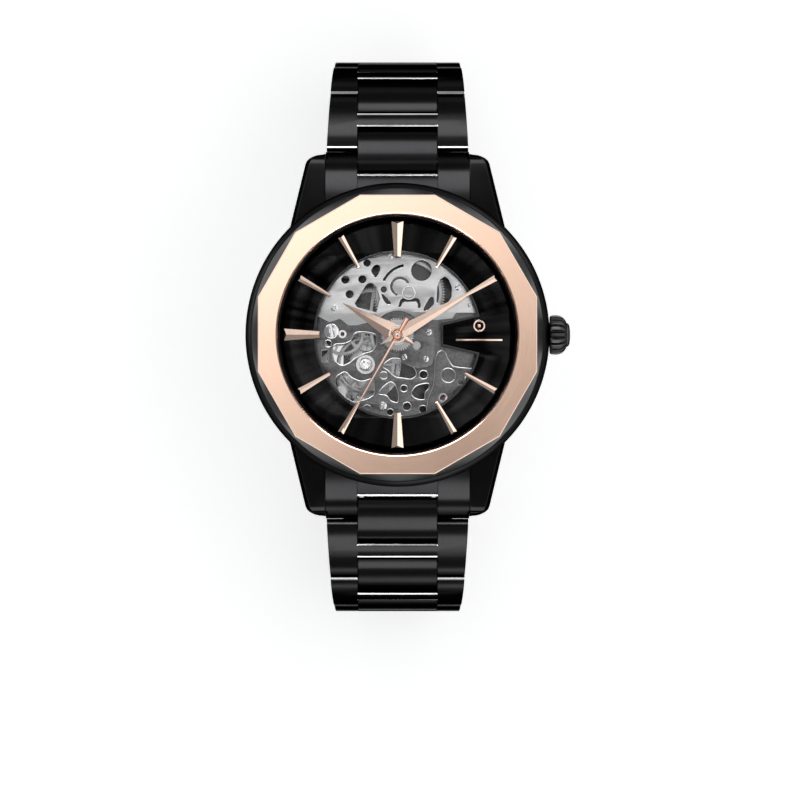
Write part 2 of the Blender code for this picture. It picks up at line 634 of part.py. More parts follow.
def add_plates():
    """The main plate on the dial side, and the bridges that hold the back ends of the arbors."""
    holes = [circle(BALANCE_HOLE, SMALL_ROUND, BALANCE_AT)]
    holes += [circle(PLATE_ARBOR_HOLE, TINY_ROUND, at) for at in (THIRD_AT, FOURTH_AT, ESCAPE_AT, PALLET_AT)]
    holes += [circle(radius, PIVOT_ROUND, (x, y)) for x, y, radius in PLATE_OPENINGS]
    holes += [circle(BARREL_ARBOR_HOLE, PIVOT_ROUND, BARREL_AT), circle(CENTRE_HOLE, PIVOT_ROUND),
              circle(MINUTE_ARBOR_HOLE, TINY_ROUND, MINUTE_WHEEL_AT)]
    loops = [circle(PLATE_RADIUS, LARGE_ROUND), *holes]
    add("main_plate", plate(loops, *PLATE_W), grey_steel, movement_place())

    low, high = BRIDGE_W
    holes = [circle(BRIDGE_PIVOT_HOLE, TINY_ROUND, at) for at in (THIRD_AT, FOURTH_AT, (0.0, 0.0))]
    holes.append(circle(BARREL_ARBOR_HOLE, PIVOT_ROUND, BARREL_AT))
    holes += [circle(radius, PIVOT_ROUND, (x, y)) for x, y, radius in BRIDGE_OPENINGS]
    sheet = plate([circle(BRIDGE_RADIUS, BACK_ROUND), *holes], low, high)
    bridge = add("train_bridge", sheet, grey_steel, movement_place())
    toward = math.atan2(BALANCE_AT[1], BALANCE_AT[0])
    outward = (BAY_REACH * math.cos(toward), BAY_REACH * math.sin(toward))
    bay = arc(BALANCE_BAY, toward + math.pi / 2, toward + 3 * math.pi / 2, 12, BALANCE_AT)
    bay += [(x + outward[0], y + outward[1]) for x, y in (bay[-1], bay[0])]
    cutter = plate([bay], low - CUT_MARGIN, high + CUT_MARGIN)
    cut(bridge, add("balance_bay", cutter, grey_steel, movement_place()))
    foot_w = (low + FOOT_OVERLAP, PLATE_W[0] - FIT)
    bore, radius = ROTOR_AXLE
    axle = turned([(bore, ROTOR_AXLE_LOW), (radius, ROTOR_AXLE_LOW), (radius, foot_w[0]), (bore, foot_w[0])],
                  SMALL_ROUND)
    combine(bridge, add("rotor_axle", axle, grey_steel, movement_place()))
    feet = [post(BRIDGE_FOOT, *foot_w, at) for at in BRIDGE_FEET]
    combine(bridge, add("bridge_feet", gathered(*feet), grey_steel, movement_place()))

    away = math.radians(COCK_FOOT_ANGLE)
    foot_at = (COCK_FOOT_REACH * math.cos(away), COCK_FOOT_REACH * math.sin(away))
    first, last = [math.radians(angle) for angle in COCK_ARC]
    head = arc(COCK_HEAD, math.radians(135), -math.radians(45), 8, BALANCE_AT)
    shoulder = (BALANCE_AT[0] - COCK_SHOULDER, BALANCE_AT[1] + COCK_SHOULDER)
    cock = [shoulder, *head[1:], *arc(COCK_ARC_RADIUS, first, last, 6)]
    sheet = plate([cock, circle(COCK_PIVOT_HOLE, TINY_ROUND, BALANCE_AT)], low, high)
    made = add("balance_cock", sheet, grey_steel, movement_place())
    combine(made, add("cock_foot", post(COCK_FOOT, *foot_w, foot_at), grey_steel, movement_place()))

    low, high = PALLET_BRIDGE_W
    holes = [circle(PALLET_BRIDGE_HOLE, TINY_ROUND, at) for at in (ESCAPE_AT, PALLET_AT)]
    sheet = plate([PALLET_BRIDGE_OUTLINE, *holes], low, high)
    made = add("pallet_bridge", sheet, grey_steel, movement_place())
    foot = post(PALLET_BRIDGE_FOOT, high - 2 * FIT, PLATE_W[0] - FIT, PALLET_BRIDGE_FOOT_AT)
    combine(made, add("pallet_bridge_foot", foot, grey_steel, movement_place()))


def post(radius, low, high, at):
    """An upright round post."""
    return plate([circle(radius, PIVOT_ROUND, at)], low, high)


def add_wheel(name, at, steps, sides=ROUND, finish=train_silver):
    add(name, turned(arbor(steps), sides), finish, movement_place(at))


def add_train():
    add_wheel("barrel", BARREL_AT, BARREL_ARBOR)
    rim = plate([circle(BARREL_RADIUS - RIM_GAP, ROUND)], *BARREL_RIM_W)
    combine(bpy.data.objects["barrel"], add("barrel_rim", rim, train_silver, movement_place(BARREL_AT)))
    add("centre_wheel", turned(CENTRE_PROFILE, ROUND), train_silver, movement_place())
    add_wheel("third_wheel", THIRD_AT, THIRD_ARBOR)
    add_wheel("fourth_wheel", FOURTH_AT, FOURTH_ARBOR)
    add_wheel("escape_wheel", ESCAPE_AT, ESCAPE_ARBOR, SMALL_ROUND)
    add("cannon_pinion", turned(CANNON_PROFILE, SMALL_ROUND), grey_steel, movement_place())
    add("hour_wheel", turned(HOUR_PROFILE, ROUND), train_silver, movement_place())
    add_wheel("minute_wheel", MINUTE_WHEEL_AT, MINUTE_ARBOR)


def add_escapement():
    """The pallet fork, the balance on its staff, and the hairspring's flat spiral."""
    to_balance = math.atan2(BALANCE_AT[1] - PALLET_AT[1], BALANCE_AT[0] - PALLET_AT[0])
    to_escape = math.atan2(ESCAPE_AT[1] - PALLET_AT[1], ESCAPE_AT[0] - PALLET_AT[0])
    lever = Vector((math.cos(to_balance), math.sin(to_balance)))
    aside = Vector((-lever.y, lever.x))
    outline = [tuple(lever * u + aside * v) for u, v in FORK_OUTLINE]
    made = add("pallet_fork", plate([outline], *PALLET_W), train_silver, movement_place(PALLET_AT))
    arm = Vector((math.cos(to_escape + PALLET_ARM_TURN), math.sin(to_escape + PALLET_ARM_TURN)))
    beside = Vector((-arm.y, arm.x))
    outline = [tuple(arm * u + beside * v) for u, v in PALLET_ARM]
    low, high = PALLET_W[0] + PALLET_ARM_INSET, PALLET_W[1] - PALLET_ARM_INSET
    combine(made, add("pallet_arm", plate([outline], low, high), train_silver, movement_place(PALLET_AT)))
    staff = turned(arbor(PALLET_STAFF), PIVOT_ROUND)
    combine(made, add("pallet_staff", staff, train_silver, movement_place(PALLET_AT)))

    inner, outer = BALANCE_RADII
    windows = []
    for number in range(BALANCE_ARMS):
        first = number * 2 * math.pi / BALANCE_ARMS + BALANCE_ARM_SPREAD
        last = (number + 1) * 2 * math.pi / BALANCE_ARMS - BALANCE_ARM_SPREAD
        hub = arc(BALANCE_HUB, first + BALANCE_HUB_SPREAD, last - BALANCE_HUB_SPREAD, 3)
        windows.append(arc(inner, first, last, 8) + list(reversed(hub)))
    sheet = plate([circle(outer, ROUND), *windows], *BALANCE_W)
    wheel = add("balance_wheel", sheet, train_silver, movement_place(BALANCE_AT))
    staff = turned(arbor(BALANCE_STAFF), PIVOT_ROUND)
    combine(wheel, add("balance_staff", staff, train_silver, movement_place(BALANCE_AT)))
    add("hairspring", plate([spiral(**HAIRSPRING)], *HAIRSPRING_W), grey_steel, movement_place(BALANCE_AT))


def spiral(turns, start, pitch, half_strip, per_turn):
    """The outline of a flat strip wound outwards."""
    inside = []
    outside = []
    for i in range(int(turns * per_turn) + 1):
        angle = 2 * math.pi * i / per_turn
        radius = start + pitch * i / per_turn
        for side, offset in ((inside, -half_strip), (outside, half_strip)):
            side.append(((radius + offset) * math.cos(angle), (radius + offset) * math.sin(angle)))
    return outside + list(reversed(inside))


def add_rotor():
    """A half disc with a heavy rim, turning on the axle in the middle of the train bridge."""
    low, web, rim = ROTOR_W
    half = arc(ROTOR_RADII[1], math.pi, 2 * math.pi, ROUND)
    sheet = plate([[*half, *ROTOR_HUB], circle(ROTOR_BORE, SMALL_ROUND)], low, web)
    made = add("rotor", sheet, grey_steel, movement_place())
    heavy = arc(ROTOR_RADII[1] - 0.02, math.pi + 0.02, 2 * math.pi - 0.02, ROUND)
    heavy += arc(ROTOR_RADII[0], 2 * math.pi - 0.03, math.pi + 0.03, ROUND)
    combine(made, add("rotor_weight", plate([heavy], web - 0.1, rim), grey_steel, movement_place()))


# ---------------------------------------------------------------- crown

def add_crown():
    """A fluted crown on the winding stem, and the lever that holds the stem in or out."""
    place = (0.0, 0.0, at_height(STEM_W))
    inner, face, end = CROWN_X
    ridge, groove, cap = CROWN_RADII
    flutes = []
    for i in range(CROWN_FLUTES):
        first = 2 * math.pi * i / CROWN_FLUTES
        for share, radius in ((-0.28, ridge), (0.28, ridge), (0.5, groove)):
            angle = first + share * 2 * math.pi / CROWN_FLUTES
            flutes.append((radius * math.cos(angle), radius * math.sin(angle)))
    made = add("crown", plate([flutes], inner, face, along_x), black_steel, place)
    knob = plate([circle(cap, SMALL_ROUND)], face - 0.3, end, along_x)
    combine(made, add("crown_end", knob, black_steel, place))
    low, high = inner - CUT_MARGIN, inner + CROWN_SOCKET_DEPTH
    socket = plate([circle(STEM_RADIUS + FIT, PIVOT_ROUND)], low, high, along_x)
    cut(made, add("crown_socket", socket, black_steel, place))
    reach = inner + STEM_END
    stem = [*STEM_STEPS, (STEM_RADIUS, reach), (0, reach)]
    add("winding_stem", turned(stem, PIVOT_ROUND), grey_steel, place, (0.0, math.pi / 2, 0.0))
    lever = plate([LEVER_OUTLINE], -LEVER_HALF_WIDTH, LEVER_HALF_WIDTH, along_y)
    add("setting_lever", lever, grey_steel, place)


# ---------------------------------------------------------------- clasp

def add_clasp():
    y_low, y_high = COVER_Y
    inner_x, outer_x = COVER_WALL_X
    notch = [(outer_x, 0.0), (outer_x, COVER_WALL_TOP), (inner_x, COVER_WALL_TOP), (inner_x, COVER_FLOOR)]
    section = [(-x, z) for x, z in notch] + [(x, z) for x, z in reversed(notch)]
    cover_at = (0.0, *COVER_HINGE)
    reach = [(x, z - COVER_HINGE[1]) for x, z in section]
    cover = add("clasp_cover", plate([reach], y_low - COVER_HINGE[0], y_high - COVER_HINGE[0], along_y),
                black_steel, cover_at)
    for side in (-1, 1):
        near, far = sorted((side * (inner_x - 0.5), side * (outer_x + 0.5)))
        low, high = BUTTON_Y[0] - BUTTON_GAP - COVER_HINGE[0], BUTTON_Y[1] + BUTTON_GAP - COVER_HINGE[0]
        floor = BUTTON_Z[0] - BUTTON_GAP_BELOW - COVER_HINGE[1]
        gap = [(low, floor), (high, floor), (high, 5.0), (low, 5.0)]
        cut(cover, add(f"button_gap_{side}", plate([gap], near, far, along_x), black_steel, cover_at))
    reach = inner_x + PIN_OVERLAP
    pin = plate([circle(CLASP_PIN_RADIUS, TINY_ROUND)], -reach, reach, along_x)
    combine(cover, add("cover_pin", pin, black_steel, cover_at))

    hinge_y, hinge_z = BLADE_HINGE
    near = (COVER_HINGE[0] - hinge_y, COVER_HINGE[1] - hinge_z)
    blade_at = (0.0, *BLADE_HINGE)
    low, high = [z - hinge_z for z in OUTER_BLADE_Z]
    eye = arc(OUTER_EYE, math.radians(50), math.radians(270), 8, near)
    outline = [*eye, (-2.0, low), (0.4, low), (0.7, low + 0.3), (0.7, high), (-1.6, high)]
    outer = add("clasp_blade_outer", plate([outline, circle(CLASP_HOLE_RADIUS, PIVOT_ROUND, near)],
                                           -BLADE_HALF_WIDTH, BLADE_HALF_WIDTH, along_x), grey_steel, blade_at)
    ear = [(-EAR_RADIUS, high - 0.4), (EAR_RADIUS, high - 0.4), *arc(EAR_RADIUS, 0.0, math.pi, 8)]
    ears = [plate([ear], side * EAR_X[0], side * EAR_X[1], along_x) for side in (-1, 1)]
    combine(outer, add("blade_ears", gathered(*ears), grey_steel, blade_at))
    reach = EAR_X[0] + PIN_OVERLAP
    pin = plate([circle(CLASP_PIN_RADIUS, TINY_ROUND)], -reach, reach, along_x)
    combine(outer, add("blade_pin", pin, grey_steel, blade_at))

    end_y, end_z = loop_pins(-1)[-1]
    far = (hinge_y - end_y, hinge_z - end_z)
    bottom, top = [z - end_z for z in INNER_BLADE_Z]
    eye = arc(INNER_EYE, -math.pi * 0.6, math.pi * 0.6, 8, far)
    knuckle = arc(CENTRE_THICKNESS / 2, math.radians(40), math.radians(320), 12)
    outline = [*knuckle, (1.45, bottom), *eye, (1.25, top)]
    holes = [circle(PIN_HOLE_RADIUS, PIVOT_ROUND), circle(CLASP_HOLE_RADIUS, PIVOT_ROUND, far)]
    add("clasp_blade_inner", plate([outline, *holes], -INNER_BLADE_HALF_WIDTH, INNER_BLADE_HALF_WIDTH, along_x),
        grey_steel, (0.0, end_y, end_z))

    for side, name in ((-1, "left"), (1, "right")):
        low, high = sorted((side * BUTTON_X[0], side * BUTTON_X[1]))
        face = [(BUTTON_Y[0], BUTTON_Z[0]), (BUTTON_Y[1], BUTTON_Z[0]), (BUTTON_Y[1], BUTTON_Z[1]),
                (BUTTON_Y[0], BUTTON_Z[1])]
        add(f"clasp_button_{name}", plate([face], low, high, along_x), black_steel)


def main():
    clear_scene()
    add_mid_case()
    add_bezel_plate()
    add_crystal()
    add_case_back()
    add_dial()
    add_hands()
    add_plates()
    add_train()
    add_escapement()
    add_rotor()
    add_crown()
    add_end_link(1, "12")
    add_end_link(-1, "6")
    add_bracelet()
    add_clasp()


main()
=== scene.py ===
import json
import math

import bmesh
import bpy
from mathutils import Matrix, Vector
from mathutils.geometry import tessellate_polygon


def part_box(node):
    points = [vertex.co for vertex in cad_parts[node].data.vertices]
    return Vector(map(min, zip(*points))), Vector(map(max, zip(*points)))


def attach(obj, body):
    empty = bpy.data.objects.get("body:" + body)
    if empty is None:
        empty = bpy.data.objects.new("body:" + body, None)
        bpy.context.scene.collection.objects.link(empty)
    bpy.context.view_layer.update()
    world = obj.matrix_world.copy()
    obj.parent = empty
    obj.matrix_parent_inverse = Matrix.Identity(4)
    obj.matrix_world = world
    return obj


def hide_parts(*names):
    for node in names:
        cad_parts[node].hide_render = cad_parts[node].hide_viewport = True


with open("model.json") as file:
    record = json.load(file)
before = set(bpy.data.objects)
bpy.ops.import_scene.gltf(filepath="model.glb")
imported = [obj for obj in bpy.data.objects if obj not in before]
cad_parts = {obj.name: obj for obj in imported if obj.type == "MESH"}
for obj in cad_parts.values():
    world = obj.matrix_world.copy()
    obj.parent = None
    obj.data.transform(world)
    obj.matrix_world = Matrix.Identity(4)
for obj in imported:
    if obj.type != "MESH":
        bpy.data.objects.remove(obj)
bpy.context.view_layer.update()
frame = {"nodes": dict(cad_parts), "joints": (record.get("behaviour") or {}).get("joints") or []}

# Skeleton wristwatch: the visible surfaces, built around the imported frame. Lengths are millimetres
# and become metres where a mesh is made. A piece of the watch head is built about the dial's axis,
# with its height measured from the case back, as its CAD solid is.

MM = 0.001
JOINTS = {joint["name"]: joint for joint in frame["joints"]}
BACK_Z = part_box("case_back")[0].z / MM
HEAD = (0.0, 0.0, BACK_Z)
FINE = 192  # sides of a large turned piece
MEDIUM = 96
SMALL = 48
TINY = 24

# Case, bezel and crystal
CASE_RADIUS = 21.0
CHAMFER_RADIUS = 20.26
SHOULDER_W = 7.5
CHAMFER_W = 8.4
FLANK_W = 10.3
BEZEL_FLAT = 19.15
BEZEL_OPENING = 16.5
BEZEL_W = (10.35, 11.5)
CRYSTAL_RADIUS = 16.42
CRYSTAL_W = (10.36, 11.3)
LUG_INNER = 10.0
LUG_ROOT = (14.6, 14.95)  # y, outer x
LUG_TIP = (25.15, 12.46)
LUG_RISE = 7.3  # height of a lug's upper face at y 13, and its slope from there
LUG_SLOPE = 0.22
LUG_ROUND = (23.75, 2.3)  # where a lug's outer corner starts to round, and by how much
LUG_BAND = 0.55
LUG_PLACES = (12.2, 14.0, 15.5, 17.0, 18.5, 20.0, 21.5, 22.75, 23.75, 24.2, 24.55, 24.8, 24.98, 25.08, 25.15)
CROWN_W = 5.35
CROWN_FLUTES = 18
CROWN_PROFILE = (  # place along the crown, radius, depth of the flutes
    (21.08, 2.48, 0.1), (21.13, 2.6, 0.18), (21.25, 2.67, 0.24), (21.5, 2.72, 0.28), (21.95, 2.74, 0.28),
    (22.35, 2.69, 0.28), (22.7, 2.55, 0.26), (23.0, 2.33, 0.2), (23.2, 2.1, 0.1), (23.34, 1.86, 0.0),
    (23.4, 1.68, 0.0), (23.52, 1.64, 0.0), (23.7, 1.5, 0.0), (23.82, 1.22, 0.0), (23.88, 0.7, 0.0),
    (23.9, 0.2, 0.0))

# Dial and hands
DIAL_RADIUS = 17.0
DIAL_W = (8.0, 8.4)
DIAL_OPENING = 11.24
TAB_ANGLE = math.radians(14)
TAB_X = 5.97
TAB_HALF = 1.6
BATON_R = (10.7, 15.65)
BATON_TOP = 8.75
FACET_SLOPE = 0.18
EMBLEM_AT = (11.25, 1.2)
HAND_TURNS = {"hour": 60.0, "minute": -60.0, "seconds": -209.7}  # degrees, at ten past ten

# Bracelet
PITCH = {"centre": 3.2, "outer": 5.3}
THICKNESS = {"centre": 2.9, "outer": 3.0}
FALL = {"centre": 0.56, "outer": 0.55}  # how far a link's face falls towards its ends
LEAST_UNDER = 0.12
PIN_RADII = (0.3, 0.42, 0.5)
EDGE_ROUND = 0.07
CENTRE_HALF = 5.5
NOTCH_HALF = 5.6
BAR_HALF = 1.05
TAPER = 0.108
WIDTHS = (19.9, 16.0)
END_LINK = (17.0, 25.5)  # y of its inner and outer end
END_LINK_STRIP = (22.14, 22.4)
SIDE_HEIGHT, SIDE_FALL = 6.35, 2.6
SIDE_TIP = (0.7, 1.5)  # the share of its length from which a side part drops faster, and how far
SIDE_UNDER = 1.1
MIDDLE_HEIGHT, MIDDLE_FALL, MIDDLE_DIP = 5.5, 1.9, 0.12
MIDDLE_UNDER = 1.2
SPRING_BAR = (0.5, 9.5, 24.0, 2.6)  # radius, half length, y, height

# Movement levels above the case back, as in the CAD
PLATE_W = (6.1, 7.0)
BRIDGE_W = (2.8, 3.6)
PALLET_BRIDGE_W = (4.6, 4.8)
PLATE_RADIUS = 12.9
POST_TOP = 6.08  # where the feet of the bridges meet the main plate
COVER_W = (7.02, 7.36)

# Camera, stage and light cards. Lengths are metres here.
FLOOR_HALF = 3
FLOOR_TONES = ((0.93, 0.93, 0.93), (0.95, 0.95, 0.95))
FLOOR_GLOW = 0.64
BACKDROP_RADIUS = 2.6
WORLD_COLOUR = (0.97, 0.985, 1.0, 1.0)
WORLD_STRENGTH = 0.32
LENS = (195.9, 36.0)  # focal length and sensor width, in millimetres
CAMERA_AT = (0.000345, -0.00901, 0.6433)
AIM = (0.0, 0.0, 0.04)
OVERHEAD_CARDS = (  # name, place, size, limits of the glow, its slope
    ("overhead", (0.0, 0.0, 0.56), (0.17, 0.17), (0.08, 2.4), (-15.0, 23.0, 0.86)),
    ("beside", (0.178, 0.0, 0.54), (0.23, 0.40), (0.9, 1.8), (4.5, 0.0, 1.5)),
    ("above", (-0.07, 0.19, 0.54), (0.2, 0.13), (0.4, 1.0), (0.0, 6.0, 0.85)))
BAND_CARDS = (  # name, place, size, limits of the glow, strength
    ("top", (0.0, 0.30, 0.34), (0.8, 0.18), (5.0, 8.0), 7.2),
    ("bottom", (0.0, -0.30, 0.34), (0.8, 0.18), (5.0, 8.0), 6.0),
    ("right", (0.36, 0.0, 0.20), (0.7, 0.26), (1.2, 1.7), 1.5),
    ("left", (-0.36, 0.0, 0.20), (0.7, 0.26), (1.2, 1.7), 1.5))
LOW_CARDS = (  # name, bearing in degrees, distance, height, size, strength; the flags are dark
    ("low_right_card", 45, 0.30, 0.025, (0.21, 0.05), 5.0),
    ("low_front_card", -72, 0.30, 0.025, (0.26, 0.05), 5.0),
    ("low_left_card", 163, 0.30, 0.025, (0.21, 0.05), 5.0),
    ("flag_right", 16, 0.07, 0.0135, (0.05, 0.026), 0.05),
    ("flag_left", -165, 0.07, 0.0135, (0.085, 0.026), 0.05))


# ---------------------------------------------------------------- materials

GRAIN_SHARE, PATCH_SHARE = 0.6, 0.4  # parts of the fine grain and of the broad patches in a finish
RAMP_ENDS = (0.3, 0.7)  # where a finish reaches its dark and its light tone
COAT_ROUGHNESS = 0.05
DEPTH_SCALE = 200.0  # of round grain along Z, per metre


def node(tree, kind, **settings):
    made = tree.nodes.new(kind)
    for name, value in settings.items():
        setattr(made, name, value)
    return made


def math_node(tree, operation, first, second=None, third=None):
    made = node(tree, "ShaderNodeMath", operation=operation)
    for socket, value in zip(made.inputs, (first, second, third)):
        if value is None:
            continue
        if isinstance(value, bpy.types.NodeSocket):
            tree.links.new(value, socket)
        else:
            socket.default_value = value
    return made.outputs[0]


def ramp(tree, source, stops):
    stops = list(stops)
    made = node(tree, "ShaderNodeValToRGB")
    tree.links.new(source, made.inputs[0])
    while len(made.color_ramp.elements) < len(stops):
        made.color_ramp.elements.new(0.5)
    for element, (place, colour) in zip(made.color_ramp.elements, stops):
        element.position = place
        element.color = (*colour, 1.0)
    return made.outputs[0]


def spread(tree, source, low, high):
    made = node(tree, "ShaderNodeMapRange")
    tree.links.new(source, made.inputs["Value"])
    made.inputs["To Min"].default_value = low
    made.inputs["To Max"].default_value = high
    return made.outputs[0]


def place_on(tree):
    return node(tree, "ShaderNodeTexCoord").outputs["Object"]


def stretched(tree, x, y=None, z=None):
    """The object's own coordinates, scaled per metre along each axis, or evenly by one number."""
    mapping = node(tree, "ShaderNodeMapping")
    tree.links.new(place_on(tree), mapping.inputs["Vector"])
    mapping.inputs["Scale"].default_value = (x, y or x, z or x)
    return mapping.outputs[0]


def polar(tree, around, outwards):
    """Noise coordinates that run round the object's Z axis and out from it."""
    split = node(tree, "ShaderNodeSeparateXYZ")
    tree.links.new(place_on(tree), split.inputs[0])
    x, y, z = split.outputs
    angle = math_node(tree, "ARCTAN2", y, x)
    reach = math_node(tree, "SQRT", math_node(tree, "ADD", math_node(tree, "MULTIPLY", x, x),
                                              math_node(tree, "MULTIPLY", y, y)))
    joined = node(tree, "ShaderNodeCombineXYZ")
    tree.links.new(math_node(tree, "MULTIPLY", angle, around), joined.inputs[0])
    tree.links.new(math_node(tree, "MULTIPLY", reach, outwards), joined.inputs[1])
    tree.links.new(math_node(tree, "MULTIPLY", z, DEPTH_SCALE), joined.inputs[2])
    return joined.outputs[0]


def noise(tree, vector, scale=1.0, detail=4.0, rough=0.55):
    made = node(tree, "ShaderNodeTexNoise")
    tree.links.new(vector, made.inputs["Vector"])
    made.inputs["Scale"].default_value = scale
    made.inputs["Detail"].default_value = detail
    made.inputs["Roughness"].default_value = rough
    return made.outputs["Fac"]


def bump(tree, source, depth, strength=0.5):
    made = node(tree, "ShaderNodeBump")
    made.inputs["Strength"].default_value = strength
    made.inputs["Distance"].default_value = depth * MM
    tree.links.new(source, made.inputs["Height"])
    return made.outputs[0]


def finish(name, metallic=1.0, specular=0.5, coat=0.0, rim=1.0):
    made = bpy.data.materials.new(name)
    made.use_nodes = True
    shader = made.node_tree.nodes["Principled BSDF"]
    shader.inputs["Metallic"].default_value = metallic
    shader.inputs["Specular IOR Level"].default_value = specular
    shader.inputs["Specular Tint"].default_value = (rim, rim, rim, 1.0)
    shader.inputs["Coat Weight"].default_value = coat
    shader.inputs["Coat Roughness"].default_value = COAT_ROUGHNESS
    return made, made.node_tree, shader


def grey(level, blue=None):
    return (level, level, level if blue is None else blue)


def grained(name, dark, light, roughness, vector_of, depth=0.0, metallic=1.0, patch=120.0, strength=0.4,
            coat=0.0, rim=1.0, detail=5.0):
    """A finish whose fine grain follows vector_of, with broader patches of tone and wear over it."""
    made, tree, shader = finish(name, metallic, coat=coat, rim=rim)
    grain = noise(tree, vector_of(tree), detail=detail)
    broad = noise(tree, stretched(tree, patch), detail=2.0)
    patches = math_node(tree, "MULTIPLY", broad, PATCH_SHARE)
    mixed = math_node(tree, "MULTIPLY_ADD", grain, GRAIN_SHARE, patches)
    tree.links.new(ramp(tree, mixed, zip(RAMP_ENDS, (dark, light))), shader.inputs["Base Color"])
    tree.links.new(spread(tree, mixed, *roughness), shader.inputs["Roughness"])
    if depth:
        tree.links.new(bump(tree, grain, depth, strength), shader.inputs["Normal"])
    return made


def along(x, y=None, z=None):
    """Grain with its own scale along each axis."""
    return lambda tree: stretched(tree, x, y, z)


def round_about(around, outwards):
    """Grain that runs in circles."""
    return lambda tree: polar(tree, around, outwards)


def striped(name, dark, light, roughness, width):
    """Parallel engraved stripes, each with a slanted grain, as on a finished bridge or rotor."""
    made, tree, shader = finish(name)
    split = node(tree, "ShaderNodeSeparateXYZ")
    tree.links.new(place_on(tree), split.inputs[0])
    across = math_node(tree, "ADD", split.outputs[0], math_node(tree, "MULTIPLY", split.outputs[1], 0.35))
    saw = math_node(tree, "FRACT", math_node(tree, "MULTIPLY", across, 1.0 / (width * MM)))
    grain = noise(tree, stretched(tree, 9000.0, 900.0, 900.0), detail=4.0)
    mixed = math_node(tree, "MULTIPLY_ADD", saw, 0.55, math_node(tree, "MULTIPLY", grain, 0.45))
    tree.links.new(ramp(tree, mixed, ((0.15, dark), (0.85, light))), shader.inputs["Base Color"])
    tree.links.new(spread(tree, mixed, *roughness), shader.inputs["Roughness"])
    tree.links.new(bump(tree, saw, 0.03, 0.35), shader.inputs["Normal"])
    return made


def grainy_plate(name, dark, light, roughness):
    """Overlapping round brush marks, each a shallow dish, as under the wheels of a plate."""
    made, tree, shader = finish(name)
    cells = node(tree, "ShaderNodeTexVoronoi")
    tree.links.new(stretched(tree, 900.0), cells.inputs["Vector"])
    swirl = noise(tree, stretched(tree, 2600.0), detail=5.0)
    rings = math_node(tree, "SINE", math_node(tree, "MULTIPLY", cells.outputs["Distance"], 26.0))
    mixed = math_node(tree, "MULTIPLY_ADD", rings, 0.18, swirl)
    tree.links.new(ramp(tree, mixed, ((0.3, dark), (0.72, light))), shader.inputs["Base Color"])
    tree.links.new(spread(tree, mixed, *roughness), shader.inputs["Roughness"])
    tree.links.new(bump(tree, cells.outputs["Distance"], 0.004, 0.2), shader.inputs["Normal"])
    return made


def clear_glass(name, least=0.0, most=0.4):
    """Thin coated glass: see-through face on, and a mirror towards its grazing edge."""
    made, tree, shader = finish(name, metallic=1.0)
    facing = node(tree, "ShaderNodeLayerWeight")
    facing.inputs["Blend"].default_value = 0.3
    edge = math_node(tree, "POWER", facing.outputs["Facing"], 3.0)
    haze = noise(tree, stretched(tree, 260.0), detail=2.0)
    tree.links.new(spread(tree, haze, 0.015, 0.04), shader.inputs["Roughness"])
    tree.links.new(spread(tree, edge, least, most), shader.inputs["Alpha"])
    shader.inputs["Base Color"].default_value = (1.0, 1.0, 1.0, 1.0)
    return made


BLACK_SATIN = grained("black_satin", grey(0.0115, 0.012), grey(0.016, 0.0165), (0.17, 0.25),
                      along(14000.0, 500.0, 3000.0), depth=0.0012, strength=0.25, rim=0.2)
BLACK_POLISH = grained("black_polish", grey(0.008, 0.0085), grey(0.012, 0.0125), (0.08, 0.15),
                       along(300.0), rim=0.2)
BLACK_BRUSHED = grained("black_brushed_round", grey(0.010, 0.0105), grey(0.017, 0.0175), (0.22, 0.34),
                        round_about(5.0, 9000.0), depth=0.0015, strength=0.3, rim=0.3)
FLANK_BLACK = grained("black_flank", grey(0.014, 0.0145), grey(0.03, 0.0305), (0.24, 0.34),
                      round_about(5.0, 9000.0), depth=0.0012, strength=0.3, metallic=0.0)
# Lighter grey for the crown's ridges and domed end against black-polished flutes: painted highlights on the
# ridges.
CROWN_RIDGE_HIGHLIGHT = grained("crown_ridge_painted_highlight", grey(0.04, 0.0405), grey(0.055, 0.0555), (0.36, 0.44),
                      along(9000.0, 500.0, 500.0), depth=0.0008, strength=0.2, rim=0.2)
# Bright silver strips on the black links and end links: painted highlights where their edges would catch the
# light.
EDGE_PAINTED_HIGHLIGHT = grained("painted_highlight_edge", grey(0.72, 0.73), grey(0.88), (0.08, 0.16), along(500.0))
ROSE_SATIN = grained("rose_gold_satin", (0.84, 0.565, 0.43), (0.90, 0.63, 0.49), (0.15, 0.22),
                     round_about(4.0, 7000.0), depth=0.0006, strength=0.2)
ROSE_POLISH = grained("rose_gold_polish", (0.82, 0.60, 0.49), (0.90, 0.69, 0.58), (0.07, 0.15), along(700.0))
COPPER_EDGE = grained("rose_gold_edge", (0.56, 0.30, 0.21), (0.68, 0.38, 0.28), (0.10, 0.18), along(600.0))
DIAL_BLACK = grained("dial_sunray", grey(0.001), grey(0.022), (0.10, 0.17),
                     round_about(10.0, 40.0), patch=20.0, detail=1.0)
DIAL_RIM = grained("dial_rim", grey(0.035, 0.037), grey(0.06, 0.062), (0.25, 0.35),
                   round_about(4.0, 9000.0), depth=0.001)
RHODIUM = grained("rhodium_grained", grey(0.50, 0.505), grey(0.64, 0.645), (0.24, 0.34),
                  along(900.0, 6000.0, 2000.0), depth=0.0008, patch=350.0)
# Dark plate grey for the main plate and the lower plates: the grained finish is the plate's own, its dark
# tone painted shade over the lower half of the movement.
RHODIUM_LOWER_SHADE = grainy_plate("rhodium_plate_painted_shade", grey(0.10, 0.102), grey(0.17, 0.172), (0.26, 0.38))
